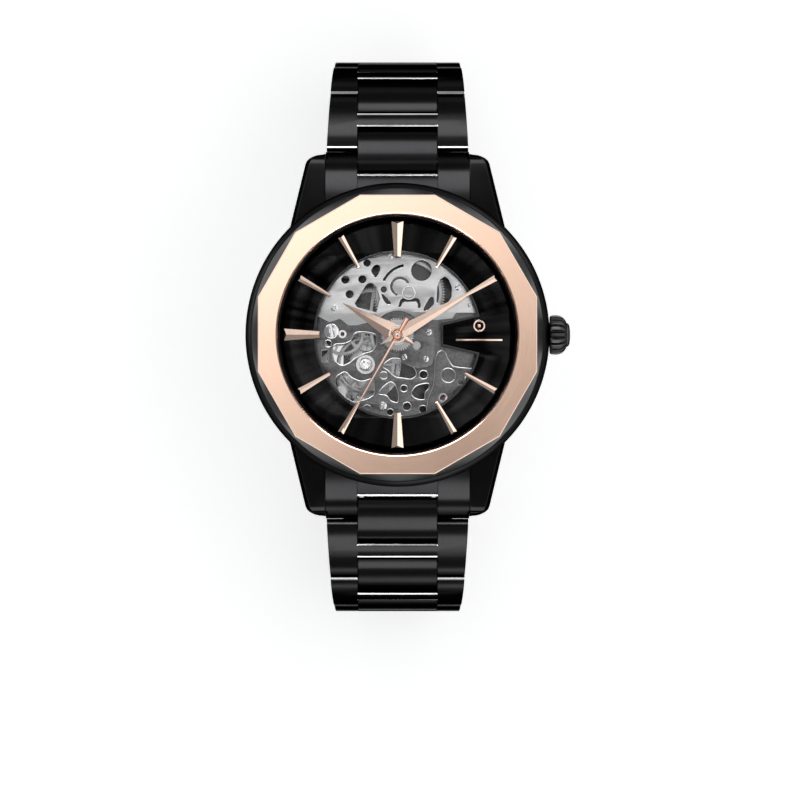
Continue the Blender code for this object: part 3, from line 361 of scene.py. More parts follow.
# The darkest plate grey, for the bridge's inner face seen through the plate's openings: painted shade.
RHODIUM_PAINTED_SHADE = grainy_plate("rhodium_shaded", grey(0.08, 0.081), grey(0.15, 0.151), (0.3, 0.42))
PLATE_BEAD = grained("plate_bead", grey(0.24, 0.241), grey(0.34, 0.342), (0.26, 0.34), along(900.0))
BRIGHT_EDGE = grained("plate_bevel", grey(0.80, 0.81), grey(0.93), (0.10, 0.20), along(900.0))
WHEEL_STEEL = grained("wheel_silver", grey(0.34), grey(0.50), (0.26, 0.38),
                      round_about(6.0, 16000.0), depth=0.001)
# A darker copy of the wheel steel, for the barrel's face deep under the plates: painted shade.
WHEEL_PAINTED_SHADE = grained("wheel_painted_shade", grey(0.07, 0.071), grey(0.13, 0.131), (0.28, 0.4),
                     round_about(6.0, 16000.0), depth=0.001)
SCREW_STEEL = grained("screw_steel", grey(0.50, 0.51), grey(0.80, 0.81), (0.08, 0.2),
                      round_about(3.0, 12000.0), depth=0.0006)
SPRING_STEEL = grained("spring_steel", grey(0.22, 0.225), grey(0.36, 0.365), (0.15, 0.26), along(2000.0))
JEWEL = grained("jewel", (0.10, 0.02, 0.03), (0.20, 0.05, 0.07), (0.03, 0.08),
                along(1500.0), metallic=0.0, coat=0.6)
GREY_STEEL = grained("case_back_steel", grey(0.34, 0.35), grey(0.55, 0.56), (0.22, 0.36),
                     round_about(5.0, 10000.0), depth=0.0012)
CLASP_STEEL = grained("clasp_steel", grey(0.30, 0.31), grey(0.48, 0.49), (0.22, 0.36),
                      along(700.0, 9000.0, 3000.0), depth=0.0012)
ROTOR_STRIPES = striped("rotor_stripes", grey(0.42, 0.43), grey(0.78, 0.79), (0.18, 0.36), 2.2)
BRIDGE_STRIPES = striped("bridge_stripes", grey(0.38, 0.39), grey(0.74, 0.75), (0.2, 0.38), 1.6)
CRYSTAL = clear_glass("sapphire")
WINDOW = clear_glass("mineral_glass", least=0.03)


# ---------------------------------------------------------------- mesh helpers

def joint_at(name):
    """A joint's place across the watch, in millimetres."""
    x, y, z = JOINTS[name]["pos_m"]
    return Vector((x, y, z)) / MM


def piece(name, shape, finishes, body, place=HEAD, turn=(0.0, 0.0, 0.0), stands_for=(), smooth=32,
          pick=None):
    """An object from millimetre points and faces that rides on a CAD body. pick chooses a face's finish."""
    points, faces = shape
    mesh = bpy.data.meshes.new(name)
    mesh.from_pydata([Vector(p) * MM for p in points], [], faces)
    build = bmesh.new()
    build.from_mesh(mesh)
    bmesh.ops.remove_doubles(build, verts=build.verts, dist=1e-7)
    bmesh.ops.recalc_face_normals(build, faces=build.faces)
    if pick:
        for face in build.faces:
            face.material_index = pick(face.calc_center_median() / MM, face.normal)
    build.to_mesh(mesh)
    build.free()
    mesh.shade_smooth()
    mesh.set_sharp_from_angle(angle=math.radians(smooth))
    for one in finishes:
        mesh.materials.append(one)
    made = bpy.data.objects.new(name, mesh)
    made.location = Vector(place) * MM
    made.rotation_euler = turn
    bpy.context.scene.collection.objects.link(made)
    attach(made, body)
    if stands_for:
        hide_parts(*stands_for)
    return made


def soften(made, width, segments=2, angle=40):
    """Rounds the sharp edges."""
    step = made.modifiers.new("edges", "BEVEL")
    step.width = width * MM
    step.segments = segments
    step.limit_method = "ANGLE"
    step.angle_limit = math.radians(angle)
    step.harden_normals = True
    step.use_clamp_overlap = True


def along_z(a, b, height):
    return (a, b, height)


def along_x(a, b, height):
    return (height, a, b)


def on_circle(radius, angle, centre=(0.0, 0.0)):
    return (centre[0] + radius * math.cos(angle), centre[1] + radius * math.sin(angle))


def circle(radius, sides, centre=(0.0, 0.0)):
    step = 2 * math.pi / sides
    return [on_circle(radius, step * i, centre) for i in range(sides)]


def arc(radius, first, last, steps, centre=(0.0, 0.0)):
    """Points along an arc, its angles in degrees."""
    return [on_circle(radius, math.radians(first + (last - first) * i / steps), centre)
            for i in range(steps + 1)]


def flowing(points, steps=6):
    """A smooth closed outline through a few points."""
    count = len(points)
    made = []
    for i in range(count):
        a, b, c, d = (Vector(points[(i + k) % count]) for k in (-1, 0, 1, 2))
        for j in range(steps):
            t = j / steps
            squared = (2 * a - 5 * b + 4 * c - d) * t * t
            p = 0.5 * (2 * b + (c - a) * t + squared + (3 * b - a - 3 * c + d) * t ** 3)
            made.append((p.x, p.y))
    return made


def curved_slot(radius, first, last, width, centre=(0.0, 0.0), steps=14):
    """A slot that follows an arc and has round ends."""
    half = width / 2
    outer = arc(radius + half, first, last, steps, centre)
    inner = arc(radius - half, last, first, steps, centre)
    ends = []
    for angle, way in ((last, 0), (first, 180)):
        at = on_circle(radius, math.radians(angle), centre)
        ends.append(arc(half, angle + way, angle + way + 180, 6, at)[1:-1])
    return outer + ends[0] + inner + ends[1]


def plate(loops, low, high, stand=along_z):
    """An outline with holes, made solid between two heights."""
    flat = [point for loop in loops for point in loop]
    count = len(flat)
    points = [stand(a, b, low) for a, b in flat] + [stand(a, b, high) for a, b in flat]
    caps = tessellate_polygon([[Vector((a, b, 0.0)) for a, b in loop] for loop in loops])
    faces = [tuple(cap) for cap in caps] + [tuple(i + count for i in cap) for cap in caps]
    first = 0
    for loop in loops:
        for i in range(len(loop)):
            one = first + i
            two = first + (i + 1) % len(loop)
            faces.append((one, two, two + count, one + count))
        first += len(loop)
    return points, faces


def bevelled_plate(loops, low, high, bevel=0.06, rounds=1):
    """Like plate, with its edges rounded: a filled flat curve with a bevel, drawn in millimetres."""
    curve = bpy.data.curves.new("outline", "CURVE")
    curve.dimensions = "2D"
    curve.fill_mode = "BOTH"
    curve.extrude = (high - low) / 2 - bevel
    curve.bevel_depth = bevel
    curve.bevel_resolution = rounds
    curve.offset = -bevel
    follow(curve, loops)
    return moved(taken_from(curve), z=(low + high) / 2)


def follow(curve, loops, height=0.0):
    """Adds closed outlines to a curve."""
    for loop in loops:
        spline = curve.splines.new("POLY")
        spline.points.add(len(loop) - 1)
        for point, (a, b) in zip(spline.points, loop):
            point.co = (a, b, height, 1.0)
        spline.use_cyclic_u = True


def taken_from(curve):
    """The mesh of a curve, as points and faces."""
    drawn = bpy.data.objects.new("drawn", curve)
    bpy.context.scene.collection.objects.link(drawn)
    graph = bpy.context.evaluated_depsgraph_get()
    mesh = bpy.data.meshes.new_from_object(drawn.evaluated_get(graph))
    shape = ([tuple(v.co) for v in mesh.vertices], [tuple(p.vertices) for p in mesh.polygons])
    bpy.data.objects.remove(drawn)
    bpy.data.meshes.remove(mesh)
    return shape


def beads(loops, radius, height):
    """Round beads that follow closed outlines, such as the polished edges of openings."""
    curve = bpy.data.curves.new("bead", "CURVE")
    curve.dimensions = "3D"
    curve.bevel_depth = radius
    curve.bevel_resolution = 2
    follow(curve, loops, height)
    return taken_from(curve)


def turned(profile, sides):
    """A closed profile of (radius, height) points turned about Z. Points at radius 0 are shared."""
    points = []
    rings = []
    for radius, height in profile:
        if radius == 0:
            rings.append([len(points)] * sides)
            points.append((0.0, 0.0, height))
            continue
        rings.append(list(range(len(points), len(points) + sides)))
        points += [(a, b, height) for a, b in circle(radius, sides)]
    faces = []
    for ring, following in zip(rings, rings[1:] + rings[:1]):
        for i in range(sides):
            j = (i + 1) % sides
            corners = list(dict.fromkeys((ring[i], ring[j], following[j], following[i])))
            if len(corners) > 2:
                faces.append(tuple(corners))
    return points, faces


def sleeve(inner, outer, low, high, sides=TINY):
    """A plain tube about Z."""
    return turned([(inner, low), (outer, low), (outer, high), (inner, high)], sides)


def arbor(steps, sides=TINY):
    """A solid shaft about Z from (radius, low, high) steps."""
    profile = [(0, steps[0][1])]
    for radius, low, high in steps:
        profile += [(radius, low), (radius, high)]
    return turned(profile + [(0, steps[-1][2])], sides)


def lofted(rings):
    """Closed rings of equal length joined in order, with both ends capped."""
    count = len(rings[0])
    points = [point for ring in rings for point in ring]
    faces = [tuple(range(count)), tuple(range(len(points) - count, len(points)))]
    for first in range(0, len(points) - count, count):
        for i in range(count):
            j = (i + 1) % count
            faces.append((first + i, first + j, first + count + j, first + count + i))
    return points, faces


def gathered(*shapes):
    points = []
    faces = []
    for more_points, more_faces in shapes:
        start = len(points)
        points += more_points
        faces += [tuple(i + start for i in face) for face in more_faces]
    return points, faces


def moved(shape, x=0.0, y=0.0, z=0.0, turn=0.0):
    """A shape turned about Z, then shifted."""
    points, faces = shape
    c, s = math.cos(turn), math.sin(turn)
    return [(a * c - b * s + x, a * s + b * c + y, h + z) for a, b, h in points], faces


def lying(shape, x=0.0, y=0.0, z=0.0):
    """A shape about Z laid along X, then shifted."""
    points, faces = shape
    return [(h + x, a + y, b + z) for a, b, h in points], faces


def bevels(centre, normal):
    """Picks the second finish for sloping faces."""
    return 1 if 0.15 < abs(normal.z) < 0.93 else 0


def anywhere(place, column):
    return True


def slab(columns, rows, top, bottom, present=anywhere):
    """A slab on a grid. columns gives the cross places of a row; top and bottom give heights; present says
    which cells hold material, so that a missing cell is a notch with walls."""
    points = []
    index = {}
    for r, u in enumerate(rows):
        for c, x in enumerate(columns(u)):
            for level, height in (("low", bottom(u, c)), ("high", top(u, c))):
                index[r, c, level] = len(points)
                points.append((x, u, height))
    wide = len(columns(rows[0])) - 1
    cells = {(r, c) for r in range(len(rows) - 1) for c in range(wide)
             if present((rows[r] + rows[r + 1]) / 2, c)}
    faces = []
    for r, c in cells:
        ring = ((r, c), (r, c + 1), (r + 1, c + 1), (r + 1, c))
        for level in ("low", "high"):
            faces.append(tuple(index[a, b, level] for a, b in ring))
        for side, neighbour in enumerate(((r - 1, c), (r, c + 1), (r + 1, c), (r, c - 1))):
            if neighbour not in cells:
                one = ring[side]
                two = ring[(side + 1) % 4]
                corners = ((*one, "low"), (*two, "low"), (*two, "high"), (*one, "high"))
                faces.append(tuple(index[corner] for corner in corners))
    used = sorted({i for face in faces for i in face})
    renamed = {old: new for new, old in enumerate(used)}
    return [points[i] for i in used], [tuple(renamed[i] for i in face) for face in faces]


# ---------------------------------------------------------------- bracelet

def link_pins(hour):
    """Where each pin of one half of the bracelet lies, from the lugs to its last joint."""
    pins = []
    for number in range(1, 7):
        for kind in ("centre", "outer"):
            pins.append(joint_at(f"{kind}_link_{hour}_{number}_pin"))
    last = joint_at("clasp_end_pin")
    pins.append(last if hour == "6" else Vector((0.0, -last.y, last.z)))
    return pins


def width_at(run):
    return max(WIDTHS[0] - TAPER * run, WIDTHS[1])


def crowned(kind, length):
    """Height of a link's outer face: flat in the middle, falling towards both ends."""
    thickness = THICKNESS[kind]
    middle = length / 2 - thickness / 2

    def height(u):
        share = abs(u - middle) / (length / 2)
        return thickness / 2 * (1 - FALL[kind] * share ** 2.6)
    return height


def rounded_under(kind):
    """Height of a link's inner face, round about both pins."""
    radius = THICKNESS[kind] / 2

    def height(u):
        over = max(-u, u - PITCH[kind], 0.0)
        return -max(math.sqrt(max(radius ** 2 - over ** 2, 0.0)), LEAST_UNDER)
    return height


def row_places(start, end, marks=()):
    """Places along a link, closer together near its ends."""
    middle = (start + end) / 2
    half = (end - start) / 2
    places = {round(middle - half * math.cos(math.pi * i / 16), 4) for i in range(17)}
    places = {p for p in places if all(abs(p - m) > 0.12 for m in marks)}
    return sorted(places | set(marks))


def add_centre_link(hour, number, pin, turn):
    pitch = PITCH["centre"]
    reach = THICKNESS["centre"] / 2
    height = crowned("centre", pitch + THICKNESS["centre"])
    under = rounded_under("centre")
    strip, dip = 0.2, 0.10
    rows = row_places(-reach, pitch + reach, (-reach + strip, pitch + reach - strip))

    def top(u, column):
        return height(u) - (dip if u in (rows[0], rows[-1]) else 0.0)
    mesh = slab(lambda u: (-CENTRE_HALF, CENTRE_HALF), rows, top, lambda u, c: under(u))
    name = f"centre_link_{hour}_{number}"
    made = piece(f"{name}_shell", mesh, (BLACK_SATIN, EDGE_PAINTED_HIGHLIGHT), name, pin, turn, (name,))
    soften(made, EDGE_ROUND)


def pin_shape(half, u):
    """A link pin with small domed heads that stand just proud of the link."""
    shaft, neck, head = PIN_RADII
    inset, step = 0.12, 0.14
    profile = [(0, -half), (shaft, -half), (neck, -half + inset), (neck, -half + step), (head, -half + step),
               (head, half - step), (neck, half - step), (neck, half - inset), (shaft, half), (0, half)]
    return lying(turned(profile, TINY), y=u)


def add_outer_link(hour, number, pin, turn, run):
    """An H link: two side bars joined by a flush cross bar, with painted-highlight strips and its two pins.
    """
    pitch = PITCH["outer"]
    reach = THICKNESS["outer"] / 2
    height = crowned("outer", pitch + THICKNESS["outer"])
    under = rounded_under("outer")
    bar = (pitch / 2 - BAR_HALF, pitch / 2 + BAR_HALF)
    end_strip, near_strip, far_strip = 0.26, 0.15, 0.3
    end_dip, near_dip, far_dip = 0.13, 0.08, 0.14
    mitre, bar_low = 0.08, -1.42
    middle_columns = (2, 3)
    marks = (-reach + end_strip, bar[0], bar[0] + near_strip, bar[1] - far_strip, bar[1])
    rows = row_places(-reach, pitch + reach, marks)

    def columns(u):
        half = width_at(run + u) / 2
        return (-half, -NOTCH_HALF, mitre - NOTCH_HALF, NOTCH_HALF - mitre, NOTCH_HALF, half)

    def top(u, column):
        dip = end_dip if u == rows[0] else 0.0
        if u in bar and column in middle_columns:
            dip = near_dip if u == bar[0] else far_dip
        return height(u) - dip

    def bottom(u, column):
        return max(under(u), bar_low) if column in middle_columns else under(u)

    def present(u, column):
        return column in (0, 4) or bar[0] < u < bar[1]

    # Faces on the strips at the link's end and beside the cross bar take the bright finish: painted
    # highlights.
    def pick(centre, normal):
        near_end = centre.y + reach < end_strip
        near_bar = bar[0] < centre.y < bar[0] + near_strip or bar[1] - far_strip < centre.y < bar[1]
        on_bar = abs(centre.x) < NOTCH_HALF
        return 1 if normal.z > 0.3 and (near_end or (near_bar and on_bar)) else 0
    name = f"outer_link_{hour}_{number}"
    # The two links nearest the case get bright painted-highlight strips; the others keep black polish there.
    strip_highlight_or_black_polish = EDGE_PAINTED_HIGHLIGHT if number <= 2 else BLACK_POLISH
    made = piece(f"{name}_shell", slab(columns, rows, top, bottom, present), (BLACK_SATIN, strip_highlight_or_black_polish),
                 name, pin, turn, (name,), pick=pick)
    soften(made, EDGE_ROUND)
    pins = gathered(*[pin_shape(width_at(run + u) / 2 + 0.02, u) for u in (0.0, pitch)])
    piece(f"link_pins_{hour}_{number}", pins, (BLACK_SATIN, SCREW_STEEL), name, pin, turn,
          pick=lambda c, n: 1 if abs(c.x) > 7.0 and abs(n.x) > 0.3 else 0)


def add_bracelet():
    for side, hour in ((1, "12"), (-1, "6")):
        pins = link_pins(hour)
        heading = 0.0 if side > 0 else math.pi
        run = 0.0
        for place, (pin, following) in enumerate(zip(pins, pins[1:])):
            step = following - pin
            tilt = math.atan2(-step.z, side * step.y)
            turn = (-tilt, 0.0, heading)
            if place % 2:
                add_outer_link(hour, place // 2 + 1, pin, turn, run)
                run += PITCH["outer"]
            else:
                add_centre_link(hour, place // 2 + 1, pin, turn)
                run += PITCH["centre"]


# The strip across the middle part's top takes the bright finish, a painted highlight; the rest of the middle
# is black polish.
def end_link_highlight_pick(centre, normal):
    if abs(centre.x) > NOTCH_HALF - 0.04:
        return 0
    near, far = END_LINK_STRIP
    return 1 if near < centre.y < far and normal.z > 0.3 else 2


def side_top(u, column):
    inner, tip = END_LINK
    share = (u - inner) / (tip - inner)
    late, drop = SIDE_TIP
    return SIDE_HEIGHT - SIDE_FALL * share ** 1.7 - drop * (max(share - late, 0.0) / (1 - late)) ** 1.5


def side_low(u, column):
    return SIDE_UNDER + max(u - 24.0, 0.0) ** 2 * 0.6


def middle_top(u, column):
    far = END_LINK_STRIP[1]
    share = (u - END_LINK[0]) / (far - END_LINK[0])
    return MIDDLE_HEIGHT - MIDDLE_FALL * share ** 1.5 - (MIDDLE_DIP if u == far else 0.0)


def add_end_links():
    """Two raised side parts with rounded ends and a lower middle part between the lugs."""
    seat, outside, gap, overlap = 21.08, 9.98, 0.03, 0.4
    start = math.sqrt(seat ** 2 - outside ** 2) - overlap
    side_rows = [u for u in row_places(17.2, END_LINK[1]) if u >= start]
    middle_rows = row_places(19.0, END_LINK_STRIP[1], (END_LINK_STRIP[0],))
    for heading, hour in ((0.0, "12"), (math.pi, "6")):
        parts = []
        for low_x, high_x in ((-outside, -NOTCH_HALF - gap), (NOTCH_HALF + gap, outside)):
            parts.append(slab(lambda u, a=low_x, b=high_x: (a, b), side_rows, side_top, side_low))
        parts.append(slab(lambda u: (-NOTCH_HALF + gap, NOTCH_HALF - gap), middle_rows, middle_top,
                          lambda u, c: MIDDLE_UNDER))
        radius, half, y, height = SPRING_BAR
        parts.append(lying(arbor([(radius, -half, half)]), y=y, z=height))
        made = piece(f"end_link_{hour}_shell", gathered(*parts), (BLACK_SATIN, EDGE_PAINTED_HIGHLIGHT, BLACK_POLISH),
                     "case", turn=(0.0, 0.0, heading), stands_for=(f"end_link_{hour}",),
                     pick=end_link_highlight_pick)
        soften(made, EDGE_ROUND)


# ---------------------------------------------------------------- case

def polygon_radius(flat, angle):
    """Distance from the centre to a twelve-sided outline at an angle."""
    third = math.pi / 6
    return flat / math.cos((angle + third / 2) % third - third / 2)


def level_ring(kind, size, height, count, start=0.0):
    """A ring of points, round or twelve-sided."""
    ring = []
    for i in range(count):
        angle = 2 * math.pi * i / count + start
        reach = size if kind == "r" else polygon_radius(size, angle)
        ring.append((*on_circle(reach, angle), height))
    return ring


def closed_loft(rings):
    """Rings joined in order and the last to the first, as a tube with no caps."""
    points, faces = lofted(rings)
    count = len(rings[0])
    last = len(points) - count
    return points, faces[2:] + [(i, (i + 1) % count, last + (i + 1) % count, last + i) for i in range(count)]


def add_case_ring():
    """The round middle: brushed wall, brushed chamfer band and a faceted flank up to the bezel."""
    levels = [("r", 17.2, 1.0), ("r", 20.25, 1.0), ("r", 20.62, 1.25), ("r", 20.9, 1.75), ("r", 21.0, 2.4),
              ("r", CASE_RADIUS, SHOULDER_W - 0.08), ("r", CASE_RADIUS - 0.03, SHOULDER_W),
              ("r", CHAMFER_RADIUS + 0.03, CHAMFER_W - 0.02), ("r", CHAMFER_RADIUS, CHAMFER_W),
              ("r", CHAMFER_RADIUS - 0.08, CHAMFER_W), ("p", BEZEL_FLAT + 0.06, FLANK_W - 0.12),
              ("p", BEZEL_FLAT - 0.02, FLANK_W), ("r", 16.55, FLANK_W), ("r", 16.2, FLANK_W - 0.35),
              ("r", 16.2, 8.5), ("r", 17.2, 8.5)]
    ring = closed_loft([level_ring(*level, FINE) for level in levels])

    def pick(centre, normal):
        reach = math.hypot(centre.x, centre.y)
        if SHOULDER_W - 0.1 < centre.z < CHAMFER_W and reach > 20.2:
            return 1
        if centre.z > CHAMFER_W - 0.01 and reach > 16.3:
            return 2
        return 0
    tube = turned([(0.9, 0.0), (1.5, 0.0), (1.5, 0.55), (1.4, 0.65), (0.9, 0.65)], SMALL)
    piece("case_ring", gathered(ring, lying(tube, x=20.45, z=CROWN_W)),
          (BLACK_SATIN, BLACK_BRUSHED, FLANK_BLACK), "case", stands_for=("mid_case",),
          smooth=24, pick=pick)


def lug_top(y):
    """Height of a lug's upper face, a steady slope away from the case."""
    return LUG_RISE - LUG_SLOPE * (y - 13.0)


def lug_low(y):
    share = max(y - 17.0, 0.0) / (LUG_TIP[0] - 17.0)
    return 1.1 - 0.75 * math.sin(math.pi * min(share * 0.75, 0.5)) + 1.6 * max(share - 0.8, 0.0) ** 1.5 * 10


def lug_outer(y):
    """Half width over the lugs, drawing in to the tip and rounded at its corner."""
    slope = (LUG_TIP[1] - LUG_ROOT[1]) / (LUG_TIP[0] - LUG_ROOT[0])
    straight = LUG_ROOT[1] + slope * (y - LUG_ROOT[0])
    start, depth = LUG_ROUND
    if y <= start:
        return straight
    share = (y - start) / (LUG_TIP[0] - start)
    return straight - depth * (1 - math.sqrt(max(1 - share ** 2.2, 0.0)))


def lug_section(y):
    """The outline across a right-hand lug, as (x, height)."""
    near_tip = max(y - 24.2, 0.0) / (LUG_TIP[0] - 24.2)
    outer = lug_outer(y)
    high = lug_top(y) - 1.0 * near_tip ** 2.5
    low = lug_low(y) + 0.5 * near_tip ** 2.5
    drop = min(0.95, (high - low) * 0.3)
    return [(LUG_INNER, low), (LUG_INNER, high - 0.12), (LUG_INNER + 0.12, high),
            (outer - LUG_BAND, high - 0.16), (outer - 0.02, high - drop), (outer, high - drop - 0.15),
            (outer, low + 0.5), (outer - 0.5, low)]


def add_lugs():
    for x_side, across in ((1, "right"), (-1, "left")):
        def pick(centre, normal, xs=x_side):
            if 0.35 < normal.x * xs < 0.93 and normal.z > 0.25:
                return 1
            return 2 if normal.z > 0.6 else 0
        for y_side, hour in ((1, "12"), (-1, "6")):
            rings = [[(x_side * x, y_side * y, w) for x, w in lug_section(y)] for y in LUG_PLACES]
            made = piece(f"lug_{hour}_{across}", lofted(rings), (BLACK_SATIN, BLACK_BRUSHED, BLACK_POLISH),
                         "case", pick=pick)
            soften(made, 0.05, angle=35)


def add_bezel():
    """The twelve-sided plate: satin face, polished outer chamfer and a stepped bevel round the opening."""
    low, high = BEZEL_W
    chamfer = 0.17
    levels = [("p", BEZEL_FLAT, low), ("p", BEZEL_FLAT, high - chamfer),
              ("p", BEZEL_FLAT - chamfer * 0.8, high), ("r", BEZEL_OPENING + 0.24, high),
              ("r", BEZEL_OPENING + 0.14, high - 0.04), ("r", BEZEL_OPENING + 0.10, high - 0.10),
              ("r", BEZEL_OPENING, high - 0.26), ("r", BEZEL_OPENING, low)]
    rings = [level_ring(*level, 12 * 20, math.pi / 12) for level in levels]

    def pick(centre, normal):
        reach = math.hypot(centre.x, centre.y)
        if reach < BEZEL_OPENING + 0.13:
            return 2
        return 1 if normal.z < 0.95 else 0
    piece("bezel_face", closed_loft(rings), (ROSE_SATIN, ROSE_POLISH, COPPER_EDGE), "case",
          stands_for=("bezel_plate",), smooth=12, pick=pick)


def add_crystal():
    low, high = CRYSTAL_W
    edge = CRYSTAL_RADIUS
    profile = [(0, low), (edge, low), (edge, high - 0.2), (edge - 0.06, high - 0.07), (edge - 0.22, high),
               (0, high)]
    piece("crystal_disc", turned(profile, FINE), (CRYSTAL,), "case", stands_for=("crystal",))


def add_case_back():
    """A screwed ring with six key slots, an inner slope and a window, seen from behind."""
    sector = 60.0
    slot_half = 2.8
    outline = []
    for number in range(6):
        first = number * sector
        outline += arc(19.0, first + slot_half, first + sector - slot_half, 26)
        outline += arc(18.1, first + sector - slot_half, first + sector + slot_half, 5)
    low_ring = bevelled_plate([outline, circle(14.6, FINE)], 0.0, 0.5, 0.06)
    upper = turned([(14.35, 0.46), (19.2, 0.46), (19.55, 0.5), (19.6, 0.58), (19.6, 0.93), (17.1, 0.93),
                    (17.1, 2.6), (16.0, 2.6), (16.0, 0.9), (14.25, 0.9), (14.25, 0.52)], FINE)
    slope = turned([(14.3, 0.5), (14.62, 0.06), (14.8, 0.02), (14.8, 0.5)], FINE)
    groove = sleeve(16.3, 16.42, 0.0, 0.3, FINE)
    piece("case_back_ring", gathered(low_ring, upper, slope, groove), (GREY_STEEL,), "case",
          stands_for=("case_back",))
    pane = turned([(0, 0.96), (15.6, 0.96), (15.75, 1.1), (15.75, 1.5), (0, 1.5)], FINE)
    piece("case_back_pane", pane, (WINDOW,), "case", stands_for=("case_back_window",))


def add_crown():
    """A fluted crown, drawn in towards its domed end."""
    sides = CROWN_FLUTES * 10
    rings = []
    for x, radius, depth in CROWN_PROFILE:
        ring = []
        for i in range(sides):
            angle = 2 * math.pi * i / sides
            groove = max(math.cos(CROWN_FLUTES * angle), 0.0) ** 0.8
            ring.append((x, *on_circle(radius - depth * groove, angle)))
        rings.append(ring)

    # Flutes take the black polish; ridges and the domed end take the lighter grey, a painted highlight.
    def pick(centre, normal):
        in_groove = math.cos(CROWN_FLUTES * math.atan2(centre.z, centre.y)) > 0.15
        return 0 if in_groove and centre.x < 23.2 else 1
    piece("crown_body", lofted(rings), (BLACK_POLISH, CROWN_RIDGE_HIGHLIGHT), "crown", (0.0, 0.0, BACK_Z + CROWN_W),
          stands_for=("crown",), smooth=30, pick=pick)


# ---------------------------------------------------------------- dial and hands

def hour_direction(hour):
    angle = math.pi / 2 - hour * math.pi / 6
    return Vector((math.cos(angle), math.sin(angle)))


def add_marker(hour):
    """One applied hour marker with two slanted faces, a ridge and a sloped outer end."""
    inner, outer = (0.47, 0.85) if hour % 3 == 0 else (0.22, 0.45)
    low, edge, rim = 8.36, BATON_TOP - 0.2, 0.03
    start, end = BATON_R
    out = hour_direction(hour)
    across = Vector((-out.y, out.x))
    points = []
    for height, inset in ((low, 0.0), (edge, 0.0), (edge + rim, rim)):
        corners = ((start + inset, -inner + inset), (end - inset, -outer + inset),
                   (end - inset, outer - inset), (start + inset, inner - inset))
        points += [(*(out * r + across * half), height) for r, half in corners]
    first = len(points)
    for r, half in ((start + 0.12, inner), (end - outer * 0.4, outer)):
        points.append((*(out * r), edge + rim + half * FACET_SLOPE))
    faces = [(3, 2, 1, 0)]
    for level in (0, 4):
        faces += [(level + i, level + (i + 1) % 4, level + 4 + (i + 1) % 4, level + 4 + i) for i in range(4)]
    faces += [(8, 9, first + 1, first), (9, 10, first + 1), (10, 11, first, first + 1), (11, 8, first)]
    piece(f"hour_marker_{hour}", (points, faces), (ROSE_POLISH,), "case", smooth=8)


def dial_opening(grow=0.0, trim=0.0, past=0.0, inset=0.0):
    """The dial's round opening with its square tab at three, made larger by a little."""
    reach = math.degrees(TAB_ANGLE) - trim
    return arc(DIAL_OPENING + grow, reach, 360 - reach, 150) + [(TAB_X + past, inset - TAB_HALF),
                                                                (TAB_X + past, TAB_HALF - inset)]


def add_dial():
    """Black sunray plate, open over the movement, with a rim, a tab at three and plain applied marks."""
    low, high = DIAL_W
    sheet = bevelled_plate([circle(DIAL_RADIUS - 0.02, FINE), dial_opening()], low, high - 0.02, 0.03)
    piece("dial_plate", sheet, (DIAL_BLACK,), "case", stands_for=("dial",))
    loops = [dial_opening(0.34, 1.55, 0.3, 0.3), dial_opening(0.01, 0.05, 0.01)]
    piece("dial_rim", bevelled_plate(loops, high - 0.1, high + 0.07, 0.03), (DIAL_RIM,), "case")
    marks = [([circle(0.82, 40, EMBLEM_AT), circle(0.6, 40, EMBLEM_AT)], 0.12),
             ([circle(0.22, 24, EMBLEM_AT)], 0.12),
             ([[(8.05, -0.86), (14.45, -0.86), (14.45, -0.62), (8.05, -0.62)]], 0.1)]
    emblem = gathered(*[bevelled_plate(loops, high - 0.05, high + rise, 0.02) for loops, rise in marks])
    piece("dial_emblem", emblem, (ROSE_POLISH,), "case")
    for hour in range(1, 13):
        if hour != 3:
            add_marker(hour)
    flange = turned([(16.18, 8.42), (17.0, 8.42), (17.0, 8.5), (16.3, 8.6), (16.24, 10.3), (16.18, 10.3)],
                    FINE)
    piece("dial_flange", flange, (BLACK_POLISH,), "case")


def kite(tip, wide_at, half, tail, low, high, step=0.05):
    """A pointed hand whose four flat facets meet where it is widest."""
    outline = [(0.0, -tail), (half, wide_at), (0.0, tip), (-half, wide_at)]
    points = [(x, y, height) for height in (low, low + step) for x, y in outline] + [(0.0, wide_at, high)]
    faces = [(3, 2, 1, 0)] + [(i, (i + 1) % 4, 4 + (i + 1) % 4, 4 + i) for i in range(4)]
    faces += [(4, 5, 8), (5, 6, 8), (6, 7, 8), (7, 4, 8)]
    return points, faces


def seconds_finish(centre, normal):
    reach = math.hypot(centre.x, centre.y)
    if centre.z < 9.6 or (reach < 0.25 and centre.z > 9.89):
        return 1
    return 2 if 9.865 < centre.z < 9.9 and reach > 0.7 else 0


def hand_turn(name):
    return (0.0, 0.0, math.radians(HAND_TURNS[name]))


